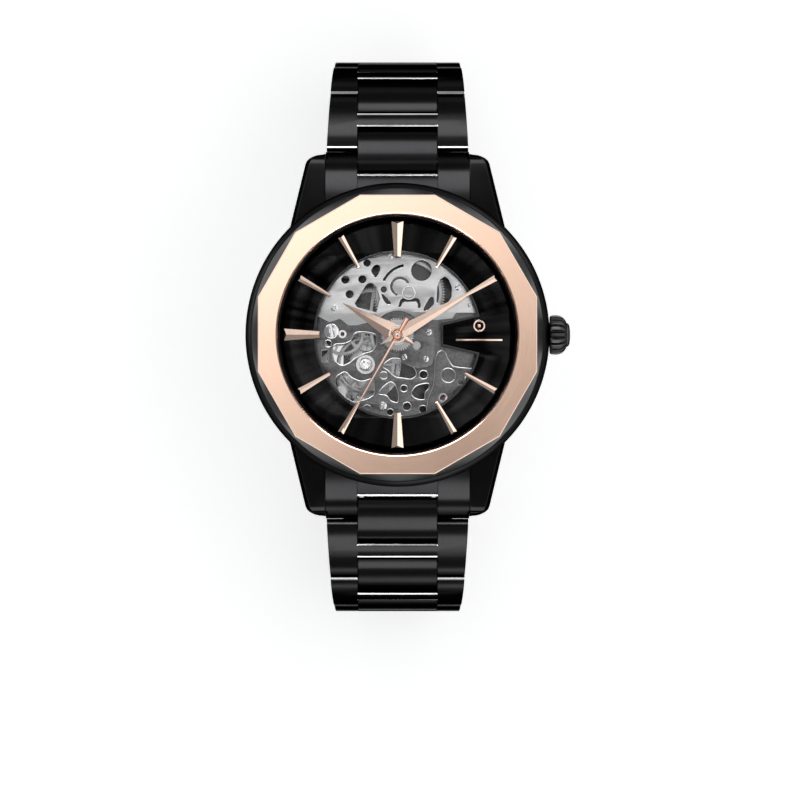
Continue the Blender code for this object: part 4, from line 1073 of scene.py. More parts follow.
def add_hands():
    hub = turned([(0.87, 8.86), (1.2, 8.86), (1.2, 9.04), (1.15, 9.08), (0.95, 9.08), (0.87, 9.04)], SMALL)
    hour = gathered(kite(8.85, 1.2, 1.15, 2.8, 8.86, 9.08), hub)
    piece("hour_hand_blade", hour, (ROSE_POLISH,), "hour_work", turn=hand_turn("hour"),
          stands_for=("hour_hand",), smooth=6)
    hub = turned([(0.37, 9.31), (0.7, 9.31), (0.7, 9.48), (0.66, 9.52), (0.45, 9.52), (0.37, 9.48)], SMALL)
    minute = gathered(kite(13.8, 1.4, 0.88, 2.8, 9.31, 9.52), hub)
    piece("minute_hand_blade", minute, (ROSE_POLISH,), "minute_work", turn=hand_turn("minute"),
          stands_for=("minute_hand",), smooth=6)
    blade = [(0.27, -2.6), (0.2, -0.4), (0.18, 1.0), (0.09, 14.86), (-0.09, 14.86), (-0.18, 1.0),
             (-0.2, -0.4), (-0.27, -2.6)]
    thin = bevelled_plate([blade], 9.73, 9.86, 0.02)
    cap = turned([(0, 9.7), (0.66, 9.7), (0.66, 9.92), (0.6, 9.98), (0.48, 9.98), (0.44, 9.88), (0.26, 9.88),
                  (0.24, 10.0), (0.16, 10.06), (0, 10.07)], SMALL)
    shaft = turned([(0, 3.66), (0.12, 3.66), (0.12, 3.78), (0.48, 3.78), (0.48, 4.06), (0.14, 4.1),
                    (0.14, 9.72), (0, 9.72)], TINY)
    line = plate([[(0.1, -2.5), (0.09, 1.0), (0.045, 14.8), (-0.045, 14.8), (-0.09, 1.0), (-0.1, -2.5)]],
                 9.85, 9.885)
    piece("seconds_hand_blade", gathered(thin, line, cap, shaft), (COPPER_EDGE, SCREW_STEEL, ROSE_POLISH),
          "seconds_work", turn=hand_turn("seconds"), stands_for=("seconds_hand",),
          pick=seconds_finish)


# ---------------------------------------------------------------- movement

BARREL = (1.575, 5.8)
THIRD = (-3.77, 2.64)
FOURTH = (-7.61, 0.10)
ESCAPE = (-4.3, -1.2)
PALLET = (-2.92, -2.51)
BALANCE = (-4.42, -4.12)
MOTION = (2.6, -1.5)
BRIDGE_SCREWS = ((9.6, 6.6), (9.2, -6.2), (-7.2, 8.6))  # over the train bridge's three feet
FRONT_SCREWS = (  # x, y, radius, turn of the slot, level
    (4.35, 0.35, 0.42, 15, "motion"), (3.9, -3.35, 0.42, 75, "motion"), (0.95, -3.1, 0.4, 120, "motion"),
    (8.35, 6.5, 0.45, 20, "cover"), (10.1, 4.1, 0.42, 70, "cover"), (-8.7, 3.6, 0.5, 130, "cover"),
    (-1.0, 10.9, 0.45, 45, "cover"), (-9.1, 0.5, 1.02, 100, "big"), (-2.0, -9.8, 0.55, 60, "plate"),
    (6.6, 0.2, 0.6, 150, "plate"), (9.6, -5.9, 0.45, 80, "cover"), (9.0, -1.6, 0.55, 35, "plate"),
    (-6.7, -10.4, 0.5, 120, "plate"), (0.6, -11.6, 0.45, 10, "plate"))
SCREW_LEVELS = {"motion": (7.3, 7.5), "cover": (7.2, COVER_W[1] + 0.14), "big": (6.9, 7.26),
                "plate": (6.9, 7.24)}
FRONT_SETTINGS = (  # centre, inner and outer radius, low, high
    (BARREL, 0.72, 1.0, 7.2, COVER_W[1] + 0.06), (BALANCE, 0.85, 1.35, 6.9, 7.22),
    (THIRD, 0.22, 0.55, 6.85, 7.08), ((6.3, -8.7), 0.35, 0.62, 7.1, COVER_W[1] + 0.05),
    (FOURTH, 0.22, 0.6, 6.85, 7.08))
MOTION_COVER = ((1.3, 1.1), (2.0, 1.6), (4.6, 1.1), (5.1, 0.2), (5.1, -3.0), (4.4, -4.3), (2.4, -4.5),
                (0.8, -3.9), (0.3, -2.9), (0.3, -1.2))
FRONT_JEWELS = ((THIRD, 0.24, 6.86, 7.04), (FOURTH, 0.24, 6.86, 7.04), ((6.3, -8.7), 0.36, 7.1, 7.34))


def at_wheel(centre):
    return (centre[0], centre[1], BACK_Z)


def toothed(teeth, tip, root):
    """The outline of a gear with rounded-looking teeth."""
    made = []
    middle = root + (tip - root) * 0.62
    for tooth in range(teeth):
        for share, radius in ((0.22, root), (0.34, middle), (0.45, tip), (0.55, tip), (0.66, middle),
                              (0.78, root)):
            made.append(on_circle(radius, 2 * math.pi * (tooth + share) / teeth))
    return made


def club_toothed(teeth, tip, root):
    """The hooked teeth of an escape wheel."""
    made = []
    for tooth in range(teeth):
        for share, radius in ((0.0, root), (0.42, root), (0.62, tip), (0.82, tip * 0.985),
                              (0.74, root + 0.12)):
            made.append(on_circle(radius, 2 * math.pi * (tooth + share) / teeth))
    return made


def between_spokes(outer, inner, count, width, start=0.0):
    """Openings between a wheel's spokes."""
    windows = []
    share = 360.0 / count
    for number in range(count):
        first = start + number * share
        far = math.degrees(math.asin(width / 2 / outer))
        near = math.degrees(math.asin(width / 2 / inner))
        windows.append(arc(outer, first + far, first + share - far, 14)
                       + arc(inner, first + share - near, first + near, 6))
    return windows


def pinion(leaves, tip, low, high):
    return plate([toothed(leaves, tip, tip * 0.66)], low, high)


def add_wheel(name, centre, body, outline, windows, levels, steps, *extras):
    """A spoked wheel on its arbor, with its pinion among the extras."""
    disc = bevelled_plate([outline, *windows], *levels, 0.03)
    piece(f"{name}_cut", gathered(disc, arbor(steps), *extras), (WHEEL_STEEL,), body, at_wheel(centre),
          stands_for=(name,), smooth=35)


def add_train():
    rim = bevelled_plate([toothed(80, 5.09, 4.78), circle(4.5, MEDIUM)], 4.92, 5.28, 0.03)
    drum = turned([(0, 4.22), (4.2, 4.22), (4.68, 4.3), (4.7, 4.36), (4.7, 5.3), (4.62, 5.38), (4.2, 5.4),
                   (4.16, 5.36), (3.95, 5.36), (3.9, 5.4), (1.5, 5.4), (1.45, 5.34), (1.0, 5.34), (0.95, 5.4),
                   (0, 5.4)], MEDIUM)
    shaft = [arbor([(0.58, 2.96, 4.3)], SMALL), arbor([(0.58, 5.3, 6.88)], SMALL)]
    # The barrel's upper face under the plates takes the darker wheel steel: painted shade.
    piece("barrel_drum", gathered(rim, drum, *shaft), (WHEEL_STEEL, WHEEL_PAINTED_SHADE), "barrel", at_wheel(BARREL),
          stands_for=("barrel",), smooth=35,
          pick=lambda c, n: 1 if n.z > 0.5 and c.z > 5.3 and math.hypot(c.x, c.y) < 4.3 else 0)
    add_wheel("centre_wheel", (0, 0), "minute_work", toothed(80, 4.02, 3.76),
              between_spokes(3.3, 0.95, 5, 0.5, 18), (5.61, 5.79),
              [(0.5, 4.31, 4.4), (0.5, 5.45, 5.6), (0.5, 5.6, 5.78)],
              pinion(12, 0.79, 4.33, 5.45), sleeve(0.18, 0.33, 5.7, 7.48))
    cannon = [(0.39, 7.06), (0.48, 7.06), (0.48, 9.19), (0.31, 9.24), (0.31, 9.6), (0.2, 9.6), (0.2, 7.56),
              (0.39, 7.5)]
    leaves = plate([toothed(12, 0.68, 0.48), circle(0.41, TINY)], 7.07, 7.33)
    piece("cannon_pinion_cut", gathered(turned(cannon, SMALL), leaves), (SCREW_STEEL,), "minute_work",
          stands_for=("cannon_pinion",))
    tube = turned([(0.57, 7.42), (0.8, 7.42), (0.8, 9.12), (0.76, 9.16), (0.57, 9.16)], SMALL)
    disc = bevelled_plate([toothed(40, 2.33, 2.1), circle(0.6, SMALL)], 7.41, 7.59, 0.03)
    recess = turned([(0.7, 7.5), (1.35, 7.5), (1.35, 7.66), (1.3, 7.68), (0.7, 7.68)], SMALL)
    piece("hour_wheel_cut", gathered(disc, tube, recess), (WHEEL_STEEL,), "hour_work",
          stands_for=("hour_wheel",), smooth=35)
    add_wheel("minute_wheel", MOTION, "minute_wheel", toothed(36, 2.19, 1.95),
              between_spokes(1.62, 0.6, 4, 0.4), (7.11, 7.29),
              [(0.18, 6.41, 7.1), (0.4, 7.1, 7.3), (0.3, 7.3, 7.76)], pinion(10, 0.54, 7.25, 7.74))
    add_wheel("third_wheel", THIRD, "third_wheel", toothed(75, 3.99, 3.74),
              between_spokes(3.3, 0.8, 5, 0.42, 10), (3.81, 3.99),
              [(0.15, 3.01, 3.7), (0.4, 3.7, 4.1), (0.3, 4.1, 5.5), (0.3, 5.5, 5.9), (0.15, 5.95, 6.79)],
              pinion(10, 0.45, 5.56, 5.84))
    add_wheel("fourth_wheel", FOURTH, "fourth_wheel", toothed(72, 3.13, 2.9),
              between_spokes(2.5, 0.6, 5, 0.34, 30), (5.31, 5.47),
              [(0.15, 3.01, 3.76), (0.3, 3.76, 5.25), (0.4, 5.25, 5.5), (0.15, 5.55, 6.79)],
              pinion(12, 0.48, 3.78, 4.08))
    add_wheel("escape_wheel", ESCAPE, "escape_wheel", club_toothed(20, 1.41, 1.1),
              between_spokes(0.95, 0.3, 4, 0.16), (5.02, 5.18),
              [(0.12, 4.66, 4.9), (0.25, 4.95, 5.2), (0.2, 5.2, 5.9), (0.12, 5.96, 6.79)],
              pinion(8, 0.3, 5.27, 5.83))


def aimed(shape, angle):
    """An outline drawn along an arm that points at an angle."""
    arm = Vector((math.cos(angle), math.sin(angle)))
    side = Vector((-arm.y, arm.x))
    return [tuple(arm * u + side * v) for u, v in shape]


def spiral_coil(turns, start, growth, width, low, high):
    """A flat spiral spring."""
    steps = 48 * turns // 2
    sides = ([], [])
    for i in range(steps + 1):
        angle = turns * math.pi * i / steps
        radius = start + growth * angle / math.pi
        for side, half in zip(sides, (-width / 2, width / 2)):
            side.append(on_circle(radius + half, angle))
    return plate([sides[1] + list(reversed(sides[0]))], low, high)


def add_escapement():
    to_balance = math.atan2(BALANCE[1] - PALLET[1], BALANCE[0] - PALLET[0])
    to_escape = math.atan2(ESCAPE[1] - PALLET[1], ESCAPE[0] - PALLET[0])
    lever = ((-0.33, -0.28), (0.0, -0.33), (1.12, -0.1), (1.24, -0.19), (1.24, -0.06), (1.14, 0.0),
             (1.24, 0.06), (1.24, 0.19), (1.12, 0.1), (0.28, 0.28))
    fork = bevelled_plate([aimed(lever, to_balance)], 5.01, 5.21, 0.02)
    arm = ((0.1, -0.18), (0.98, -0.11), (0.98, 0.11), (0.1, 0.18))
    branch = plate([aimed(arm, to_escape + 1.15)], 5.04, 5.18)
    staff = arbor([(0.12, 4.66, 4.9), (0.2, 4.9, 5.4), (0.12, 5.4, 6.79)])
    piece("pallet_fork_cut", gathered(fork, branch, staff), (SCREW_STEEL,), "pallet_fork", at_wheel(PALLET),
          stands_for=("pallet_fork",))
    rim = bevelled_plate([circle(4.06, MEDIUM), *between_spokes(3.5, 0.8, 3, 0.55)], 4.12, 4.43, 0.06)
    staff = arbor([(0.14, 2.96, 3.7), (0.3, 3.98, 4.55), (0.2, 4.55, 5.3), (0.48, 5.3, 5.48),
                   (0.14, 5.5, 6.79)])
    weight = arbor([(0.26, 4.05, 4.14), (0.26, 4.4, 4.52)], 16)
    weights = [moved(weight, *on_circle(3.78, math.pi * k / 3 + 0.5)) for k in range(6)]
    piece("balance_rim", gathered(rim, staff, *weights), (WHEEL_STEEL,), "balance", at_wheel(BALANCE),
          stands_for=("balance_wheel",))
    coil = spiral_coil(7, 0.55, 0.25, 0.09, 3.76, 3.94)
    piece("hairspring_coil", gathered(coil, sleeve(0.2, 0.62, 3.76, 3.98)), (SPRING_STEEL,), "balance",
          at_wheel(BALANCE), stands_for=("hairspring",))


def screw(centre, radius, low, high, turn=30.0):
    """A slotted screw head: a disc with two raised halves."""
    half = radius * 0.16
    rise = min(0.16, (high - low) * 0.6)
    base = moved(turned([(0, low), (radius, low), (radius, high - rise), (0, high - rise)], 28), *centre)
    limit = math.degrees(math.asin(half / radius))
    halves = []
    for first in (0.0, 180.0):
        points = arc(radius * 0.985, first + limit, first + 180 - limit, 14)
        halves.append(moved(bevelled_plate([points], high - rise - 0.02, high, radius * 0.07), *centre,
                            turn=math.radians(turn)))
    return gathered(base, *halves)


def jewel_setting(centre, inner, outer, low, high):
    ring = turned([(inner, low), (outer, low), (outer, high - 0.05), (outer - 0.05, high),
                   (inner + 0.1, high), (inner, high - 0.08)], 32)
    return moved(ring, *centre)


def jewel_stone(centre, radius, low, high):
    dome = turned([(radius * 0.2, low), (radius, low), (radius, high - 0.06), (radius * 0.85, high),
                   (radius * 0.5, high - 0.01), (radius * 0.25, high - 0.09), (radius * 0.2, high - 0.12)],
                  28)
    return moved(dome, *centre)


# Openings of the plates
KIDNEY = flowing([(-9.0, -2.0), (-8.9, -3.3), (-7.8, -4.2), (-6.7, -3.9), (-5.9, -3.3), (-4.6, -2.6),
                  (-3.5, -2.2), (-2.9, -1.3), (-3.0, 0.0), (-4.2, 0.4), (-5.8, 0.3), (-6.5, -0.8),
                  (-7.5, -1.2), (-8.6, -1.3)], 5)
BALANCE_WINDOW = flowing([(-8.5, -5.9), (-7.3, -5.1), (-6.3, -5.9), (-5.0, -6.4), (-3.5, -6.1), (-3.2, -7.3),
                          (-3.4, -8.4), (-4.6, -9.0), (-6.0, -9.3), (-7.6, -8.3), (-8.5, -7.0)], 5)
WINDOW_A = [(-4.3, 6.9), (-3.95, 7.12), (-3.55, 7.12), (-2.95, 6.6), (-2.5, 5.0), (-2.9, 3.1), (-5.5, 3.8),
            (-5.9, 4.3)]
WINDOW_B = [(5.4, 4.5), (5.5, 6.6), (5.9, 7.6), (6.5, 8.05), (7.1, 7.6), (7.5, 6.4), (7.4, 5.2), (6.8, 4.25),
            (5.9, 4.15)]
WINDOW_C = flowing([(-3.6, 8.9), (-3.1, 9.6), (-2.5, 9.5), (-2.45, 8.9), (-2.9, 8.0), (-3.25, 8.1)], 4)
WINDOW_D = [(0.1, 3.85), (0.35, 4.75), (0.65, 5.0), (2.7, 5.05), (3.05, 4.8), (3.2, 4.1), (3.12, 3.7),
            (2.83, 3.75), (2.83, 4.2), (2.6, 4.6), (0.95, 4.55), (0.68, 4.4), (0.5, 3.9)]
LEAF_F = flowing([(-2.2, 5.7), (-1.4, 5.0), (-0.9, 4.3), (-1.5, 4.3), (-1.98, 4.9)], 4)
LEAF_G = flowing([(3.6, 3.5), (4.4, 5.0), (4.95, 5.1), (4.95, 4.2), (4.1, 3.4)], 4)
WINDOW_H = flowing([(-2.0, -4.3), (-1.2, -5.0), (-0.3, -5.8), (1.0, -6.0), (1.9, -6.1), (2.6, -5.5),
                    (2.3, -4.6), (1.4, -3.9), (0.4, -3.3), (-0.9, -3.3)], 5)
WINDOW_I = flowing([(-2.6, -8.1), (-1.5, -8.4), (-0.9, -9.1), (0.0, -9.3), (0.1, -8.2), (-0.3, -7.0),
                    (-0.9, -6.5), (-1.8, -7.0)], 5)
WINDOW_J = flowing([(1.9, -8.0), (2.5, -8.8), (3.7, -8.9), (3.8, -8.0), (4.3, -7.4), (4.2, -6.7),
                    (2.7, -7.0)], 5)
BARREL_SLOT = curved_slot(3.85, 104, 152, 0.36, BARREL)
BARREL_CRESCENT = curved_slot(1.2, 30, 245, 0.34, (0.35, 6.65))
UPPER_ROUND = ((1.4, 40, (3.3, 8.85)), (0.55, 24, (-7.2, 7.6)), (0.55, 24, (-4.85, 7.65)),
               (0.42, 24, (-1.9, 6.25)), (0.55, 24, (-6.6, 5.6)), (0.5, 24, (-4.2, 9.9)))
LOWER_ROUND = ((0.52, 24, (-4.2, -10.2)), (0.52, 24, (-1.9, -5.6)), (0.48, 24, (-1.0, -10.7)),
               (0.48, 24, (0.9, -7.4)), (0.6, 24, (1.3, -9.9)), (0.55, 24, (3.5, -10.3)),
               (0.6, 24, (3.6, -5.5)))
UPPER_HOLES = [WINDOW_A, WINDOW_B, WINDOW_C, WINDOW_D, LEAF_F, LEAF_G, BARREL_SLOT,
               *[circle(*h) for h in UPPER_ROUND]]
LOWER_HOLES = [KIDNEY, BALANCE_WINDOW, WINDOW_H, WINDOW_I, WINDOW_J, circle(0.5, 24, (-9.6, -1.2)),
               [(-10.5, -3.8), (-9.5, -3.8), (-9.5, -2.1), (-10.5, -2.1)], *[circle(*h) for h in LOWER_ROUND]]
LOWER_COVER_HOLE = circle(1.0, 36, (7.0, -5.6))


def cover_plate():
    """The bright raised plate over the upper half, with a round gap for the motion work."""
    outline = arc(12.4, 14, 167, 90)
    outline += [(-10.9, 2.5), (-9.4, 1.7), (-7.9, 2.2), (-6.8, 1.25), (-5.6, 1.3), (-2.75, 2.0)]
    outline += arc(3.3, 143, 42, 20) + [(3.5, 2.2), (5.5, 2.0), (7.6, 2.2), (8.1, 3.0), (10.9, 2.95)]
    holes = [*UPPER_HOLES, BARREL_CRESCENT]
    return bevelled_plate([outline, *holes], *COVER_W, 0.085, 2)


def lower_cover_outline():
    outline = [(5.2, -3.3), (5.6, -2.4), (6.1, -2.1), (6.6, -2.4), (7.0, -3.4), (7.6, -4.3), (8.4, -4.5),
               (11.4, -4.8)]
    outline += arc(12.4, -23, -68, 30)
    return outline + [(4.1, -11.4), (4.05, -9.8), (4.3, -8.6), (4.9, -7.2), (5.1, -6.0)]


def lower_cover():
    """A second raised plate at the lower right."""
    holes = [LOWER_COVER_HOLE, circle(0.42, 24, (8.7, -6.5)), circle(0.6, 28, (6.3, -8.7))]
    return bevelled_plate([lower_cover_outline(), *holes], *COVER_W, 0.085, 2)


def steel_plate(name, shape, finishes, stands_for=(), pick=bevels):
    piece(name, shape, finishes, "case", stands_for=stands_for, smooth=24, pick=pick)


def small_parts(name, shapes, surface):
    piece(name, gathered(*shapes), (surface,), "case")


def add_movement_front():
    """The main plate, its raised plates, screws and jewels, seen through the dial."""
    small = [circle(0.3, 20, at) for at in (THIRD, FOURTH)]
    loops = [circle(PLATE_RADIUS - 0.03, FINE), *UPPER_HOLES, *LOWER_HOLES, *small, circle(0.65, 32)]
    base = bevelled_plate(loops, *PLATE_W, 0.095, 2)
    step = turned([(12.5, 6.8), (12.86, 6.8), (12.86, 7.2), (12.78, 7.28), (12.56, 7.28), (12.5, 7.2)], FINE)
    lip = turned([(2.5, 6.95), (2.68, 6.95), (2.68, 7.02), (2.64, 7.07), (2.54, 7.07), (2.5, 7.02)], MEDIUM)
    # The main plate, lower cover and motion cover take the dark plate grey: painted shade over the lower
    # half.
    steel_plate("main_plate_cut", gathered(base, step, lip), (RHODIUM_LOWER_SHADE, BRIGHT_EDGE), ("main_plate",))
    steel_plate("cover_plate_upper", cover_plate(), (RHODIUM, BRIGHT_EDGE))
    lower_edges = [lower_cover_outline(), LOWER_COVER_HOLE]
    small_parts("plate_edges", [beads(LOWER_HOLES, 0.07, 6.98), beads(lower_edges, 0.06, 7.34)], PLATE_BEAD)
    steel_plate("cover_plate_lower", lower_cover(), (RHODIUM_LOWER_SHADE, BRIGHT_EDGE))
    cover = bevelled_plate([flowing(MOTION_COVER, 5), circle(0.62, 28, MOTION)], 7.315, 7.385, 0.02)
    steel_plate("motion_cover", cover, (RHODIUM_LOWER_SHADE,), pick=None)
    heads = [screw((x, y), radius, *SCREW_LEVELS[level], turn) for x, y, radius, turn, level in FRONT_SCREWS]
    small_parts("front_screws", heads, SCREW_STEEL)
    dish = turned([(0.3, 6.9), (0.86, 6.9), (0.86, 7.1), (0.74, 7.14), (0.36, 7.06), (0.3, 7.06)], 40)
    rings = [jewel_setting(*row) for row in FRONT_SETTINGS]
    small_parts("front_settings", [*rings, moved(dish, *BALANCE)], SCREW_STEEL)
    parts = []
    for number in range(3):
        loop = curved_slot(0.52, 120 * number + 14, 120 * number + 106, 0.13)
        parts.append(moved(bevelled_plate([loop], 7.12, 7.2, 0.02), *BALANCE))
    parts.append(moved(turned([(0, 7.0), (0.34, 7.0), (0.34, 7.12), (0.28, 7.16), (0, 7.16)], 28), *BALANCE))
    small_parts("shock_spring", parts, BRIGHT_EDGE)
    small_parts("front_jewels", [jewel_stone(*row) for row in FRONT_JEWELS], JEWEL)


def add_movement_back():
    """The bridge side: striped bridges with screws, jewels and the rotor's bearing."""
    low, high = BRIDGE_W
    gap, reach = 4.9, 12.57  # radius left free round the balance, and the bridge's own
    toward = math.degrees(math.atan2(BALANCE[1], BALANCE[0])) % 360
    side = math.degrees(math.atan2(gap, math.sqrt(12.6 ** 2 - gap ** 2)))
    outline = arc(reach, toward + side, toward - side + 360, 150)
    outline += arc(gap, toward - 90, toward - 270, 40, BALANCE)
    seam = curved_slot(6.2, 20, 118, 0.16, (3.6, -1.2), 30)
    holes = [circle(0.42, 24, THIRD), circle(0.42, 24, FOURTH), circle(0.72, 32, BARREL),
             circle(0.9, 32, (6.5, -4.5)), circle(1.2, 32, (5.5, -8.0)), circle(0.6, 32, (-1.2, 10.2)),
             circle(0.3, 20), seam]
    bridge = bevelled_plate([outline, *holes], low, high, 0.08, 2)
    axle = turned([(0.27, 1.8), (0.74, 1.8), (0.77, 1.84), (0.77, 2.9), (0.27, 2.9)], SMALL)
    foot = arbor([(0.78, high - 0.1, POST_TOP)])
    feet = [moved(foot, *at) for at in BRIDGE_SCREWS]
    # Bridge faces turned towards the dial take the darkest plate grey: painted shade seen through the
    # openings.
    steel_plate("train_bridge_cut", gathered(bridge, axle, *feet), (BRIDGE_STRIPES, BRIGHT_EDGE,
                                                                    RHODIUM_PAINTED_SHADE), ("train_bridge",),
                lambda c, n: 2 if n.z > 0.93 else 1 if 0.15 < abs(n.z) else 0)
    cock = [(-5.52, -3.02), *arc(1.4, 135, -45, 14, BALANCE)[1:], *arc(12.5, 236, 214, 10)]
    plate_part = bevelled_plate([cock, circle(0.4, 24, BALANCE)], low, high, 0.08, 2)
    foot = moved(arbor([(0.84, high - 0.1, POST_TOP)]), *on_circle(11.2, math.radians(225)))
    steel_plate("balance_cock_cut", gathered(plate_part, foot), (BRIDGE_STRIPES, BRIGHT_EDGE),
                ("balance_cock",))
    heads = []
    for at in (*BRIDGE_SCREWS, (3.4, 9.8), (-9.6, 4.4), (7.4, 1.0), (1.6, -10.6), (-8.4, -8.5)):
        points, faces = screw(at, 0.62, -2.86, -2.68, 40)
        heads.append(([(a, b, -h) for a, b, h in points], faces))
    small_parts("back_screws", heads, SCREW_STEEL)
    stone = turned([(0.2, low - 0.06), (0.41, low - 0.04), (0.41, low + 0.3), (0.2, low + 0.3)], 28)
    small_parts("back_jewels", [moved(stone, *at) for at in (THIRD, FOURTH, BALANCE)], JEWEL)
    low, high = PALLET_BRIDGE_W
    outline = flowing([(-6.4, -3.6), (-5.6, -3.85), (-4.4, -3.3), (-2.8, -3.1), (-2.35, -2.5), (-2.75, -1.9),
                       (-3.6, -0.75), (-4.5, -0.65), (-5.0, -1.1), (-6.3, -3.0)], 4)
    thin = bevelled_plate([outline, circle(0.2, 16, ESCAPE), circle(0.2, 16, PALLET)], low, high, 0.04)
    post = moved(arbor([(0.34, high - 0.05, POST_TOP)]), -5.9, -3.35)
    piece("pallet_bridge_cut", gathered(thin, post), (RHODIUM,), "case", stands_for=("pallet_bridge",))


def add_rotor():
    outline = arc(12.84, 180, 360, 110) + [(2.4, 0.3)] + arc(1.85, 30, 150, 14) + [(-2.4, 0.3)]
    windows = []
    for first in (190, 232, 280, 318):
        span = 34 if first in (190, 318) else 30
        windows.append(arc(9.4, first, first + span, 20) + arc(4.2, first + span - 3, first + 3, 10))
    sheet = bevelled_plate([outline, *windows, circle(0.9, SMALL)], 1.82, 2.18, 0.06)
    piece("rotor_web", sheet, (ROTOR_STRIPES, BRIGHT_EDGE), "rotor", stands_for=("rotor",),
          smooth=24, pick=bevels)
    heavy = arc(12.8, 181, 359, 100) + arc(10.35, 359, 181, 90)
    piece("rotor_weight", bevelled_plate([heavy], 2.1, 2.58, 0.06), (CLASP_STEEL,), "rotor")
    ring = turned([(0.9, 1.72), (1.5, 1.72), (1.56, 1.78), (1.56, 1.9), (0.9, 1.9)], SMALL)
    ball = turned([(0, 1.64), (0.1, 1.67), (0.14, 1.74), (0, 1.8)], 14)
    balls = [moved(ball, *on_circle(1.2, 2 * math.pi * i / 7)) for i in range(7)]
    piece("rotor_bearing", gathered(ring, *balls), (SCREW_STEEL,), "rotor")


# ---------------------------------------------------------------- clasp

def add_clasp():
    """A box-shaped cover with a push button on each side. The clasp's blades keep their CAD shapes."""
    y_low, y_high = -19.78, 19.38
    wall = [(y_low + 0.5, 0.02), (y_high - 0.5, 0.02), (y_high, 0.55), (y_high, 2.6), (y_high - 0.6, 3.28),
            (9.5, 3.28), (9.5, 1.08), (6.5, 1.08), (6.5, 3.28), (y_low + 0.6, 3.28), (y_low, 2.6),
            (y_low, 0.55)]
    walls = [plate([wall], *sorted((side * 6.97, side * 7.98)), along_x) for side in (-1, 1)]
    floor = [(-7.6, y_low), (7.6, y_low), (7.9, y_low + 0.4), (7.9, y_high - 0.4), (7.6, y_high),
             (-7.6, y_high), (-7.9, y_high - 0.4), (-7.9, y_low + 0.4)]
    hinge = joint_at("clasp_cover_hinge")
    pin = lying(arbor([(0.48, -7.2, 7.2)]), y=hinge.y, z=hinge.z)
    cover = piece("clasp_cover_box", gathered(*walls, plate([floor], 0.02, 0.63), pin), (BLACK_SATIN,),
                  "clasp_cover", (0, 0, 0), stands_for=("clasp_cover",))
    soften(cover, 0.14, 3)
    face = [(6.72, 1.22), (9.28, 1.22), (9.38, 1.32), (9.38, 2.68), (9.28, 2.78), (6.72, 2.78), (6.62, 2.68),
            (6.62, 1.32)]
    for side, name in ((-1, "left"), (1, "right")):
        ribs = []
        for number in range(5):
            y = 7.0 + 0.5 * number
            rib = [(y - 0.12, 1.4), (y + 0.12, 1.4), (y + 0.12, 2.6), (y - 0.12, 2.6)]
            ribs.append(plate([rib], *sorted((side * 8.46, side * 8.58)), along_x))
        cap = plate([face], *sorted((side * 7.02, side * 8.5)), along_x)
        button = piece(f"clasp_button_{name}_cap", gathered(cap, *ribs), (SCREW_STEEL,),
                       f"clasp_button_{name}", (0, 0, 0), stands_for=(f"clasp_button_{name}",))
        soften(button, 0.05)


# ---------------------------------------------------------------- carried-over parts, stage and camera

def dress_kept_parts():
    """Gives the CAD shapes that stay visible a worked metal surface."""
    for name, surface in (("movement_holder", GREY_STEEL), ("setting_lever", RHODIUM),
                          ("winding_stem", SCREW_STEEL), ("clasp_blade_inner", CLASP_STEEL),
                          ("clasp_blade_outer", CLASP_STEEL)):
        kept = frame["nodes"][name]
        kept.data.materials.clear()
        kept.data.materials.append(surface)


def glow(name, limits, slope):
    """A glowing surface. Its strength changes by the slope's first two numbers per metre of its own x and y,
    from the third number at its middle, and stays inside the limits."""
    made = bpy.data.materials.new(name)
    made.use_nodes = True
    tree = made.node_tree
    tree.nodes.clear()
    split = node(tree, "ShaderNodeSeparateXYZ")
    tree.links.new(place_on(tree), split.inputs[0])
    share = math_node(tree, "MULTIPLY_ADD", split.outputs[0], slope[0], slope[2])
    share = math_node(tree, "MULTIPLY_ADD", split.outputs[1], slope[1], share)
    limited = math_node(tree, "MINIMUM", math_node(tree, "MAXIMUM", share, limits[0]), limits[1])
    light = node(tree, "ShaderNodeEmission")
    tree.links.new(limited, light.inputs["Strength"])
    output = node(tree, "ShaderNodeOutputMaterial")
    tree.links.new(light.outputs[0], output.inputs["Surface"])
    if limits[1] <= 1.0:
        made.cycles.emission_sampling = "NONE"
    return made


def flat_sheet(name, half_x, half_y, surface):
    mesh = bpy.data.meshes.new(name)
    corners = [(-half_x, -half_y, 0), (half_x, -half_y, 0), (half_x, half_y, 0), (-half_x, half_y, 0)]
    mesh.from_pydata(corners, [], [(0, 1, 2, 3)])
    mesh.materials.append(surface)
    made = bpy.data.objects.new(name, mesh)
    bpy.context.scene.collection.objects.link(made)
    return made


def card(name, centre, size, facing, surface):
    """A flat light card that the camera doesn't see, turned to face a point if one is given."""
    made = flat_sheet(name, size[0] / 2, size[1] / 2, surface)
    made.location = centre
    if facing is not None:
        made.rotation_euler = (Vector(centre) - Vector(facing)).to_track_quat("Z", "Y").to_euler()
    made.visible_camera = False
    return made


def add_cards():
    cards = []
    for name, place, size, limits, slope in OVERHEAD_CARDS:
        cards.append(card(f"{name}_card", place, size, None, glow(name, limits, slope)))
    for name, place, size, limits, strength in BAND_CARDS:
        surface = glow(f"{name}_light", limits, (0.0, 0.0, strength))
        band = card(f"{name}_card", place, size, AIM, surface)
        band.visible_diffuse = False
        cards.append(band)
    for name, bearing, reach, height, size, strength in LOW_CARDS:
        place = (*on_circle(reach, math.radians(bearing)), height)
        surface = glow(f"{name}_glow", (0.0, max(strength, 1.0)), (0.0, 0.0, strength))
        low = card(name, place, size, (0.0, 0.0, height), surface)
        low.visible_diffuse = False
        low.visible_shadow = False
        cards.append(low)
    return cards


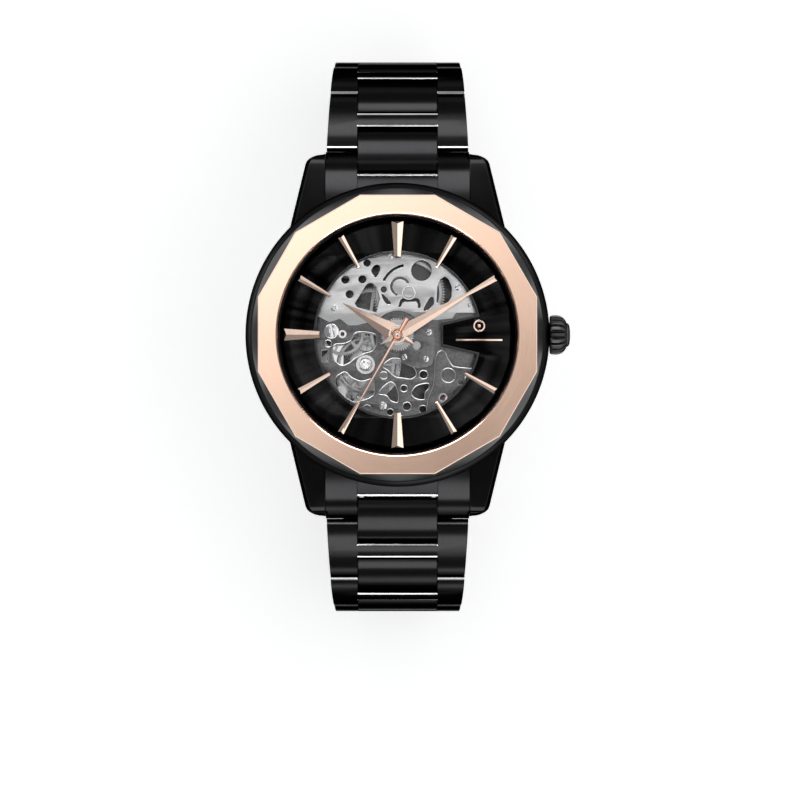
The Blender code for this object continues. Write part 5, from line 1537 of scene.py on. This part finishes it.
def add_floor():
    surface, tree, shader = finish("pale_floor", metallic=0.0, specular=0.1)
    paper = noise(tree, stretched(tree, 60.0), detail=3.0)
    tree.links.new(ramp(tree, paper, zip(RAMP_ENDS, FLOOR_TONES)), shader.inputs["Base Color"])
    shader.inputs["Roughness"].default_value = 0.9
    shader.inputs["Emission Color"].default_value = (1.0, 1.0, 1.0, 1.0)
    shader.inputs["Emission Strength"].default_value = FLOOR_GLOW
    surface.cycles.emission_sampling = "NONE"
    return flat_sheet("floor", FLOOR_HALF, FLOOR_HALF, surface)


def add_backdrop():
    """A white dome that only the camera sees."""
    dome = bpy.data.meshes.new("backdrop")
    build = bmesh.new()
    bmesh.ops.create_uvsphere(build, u_segments=48, v_segments=24, radius=BACKDROP_RADIUS)
    build.to_mesh(dome)
    build.free()
    dome.materials.append(glow("backdrop_white", (0.9, 0.96), (0.0, 0.0, 0.93)))
    backdrop = bpy.data.objects.new("backdrop", dome)
    backdrop.visible_glossy = False
    backdrop.visible_diffuse = False
    backdrop.visible_shadow = False
    backdrop.visible_transmission = False
    bpy.context.scene.collection.objects.link(backdrop)
    return backdrop


def add_stage():
    floor = add_floor()
    cards = add_cards()
    backdrop = add_backdrop()
    scene = bpy.context.scene
    if scene.world is None:
        scene.world = bpy.data.worlds.new("studio")
    scene.world.use_nodes = True
    background = scene.world.node_tree.nodes["Background"]
    background.inputs[0].default_value = WORLD_COLOUR
    background.inputs[1].default_value = WORLD_STRENGTH
    scene.view_settings.view_transform = "Standard"


def add_camera():
    data = bpy.data.cameras.new("camera")
    data.lens, data.sensor_width = LENS
    data.clip_start = 0.01
    data.clip_end = 20.0
    camera = bpy.data.objects.new("camera", data)
    camera.location = CAMERA_AT
    bpy.context.scene.collection.objects.link(camera)
    bpy.context.scene.camera = camera


add_case_ring()
add_lugs()
add_bezel()
add_crystal()
add_case_back()
add_crown()
add_dial()
add_hands()
add_train()
add_escapement()
add_movement_front()
add_movement_back()
add_rotor()
add_end_links()
add_bracelet()
add_clasp()
dress_kept_parts()
add_stage()
add_camera()
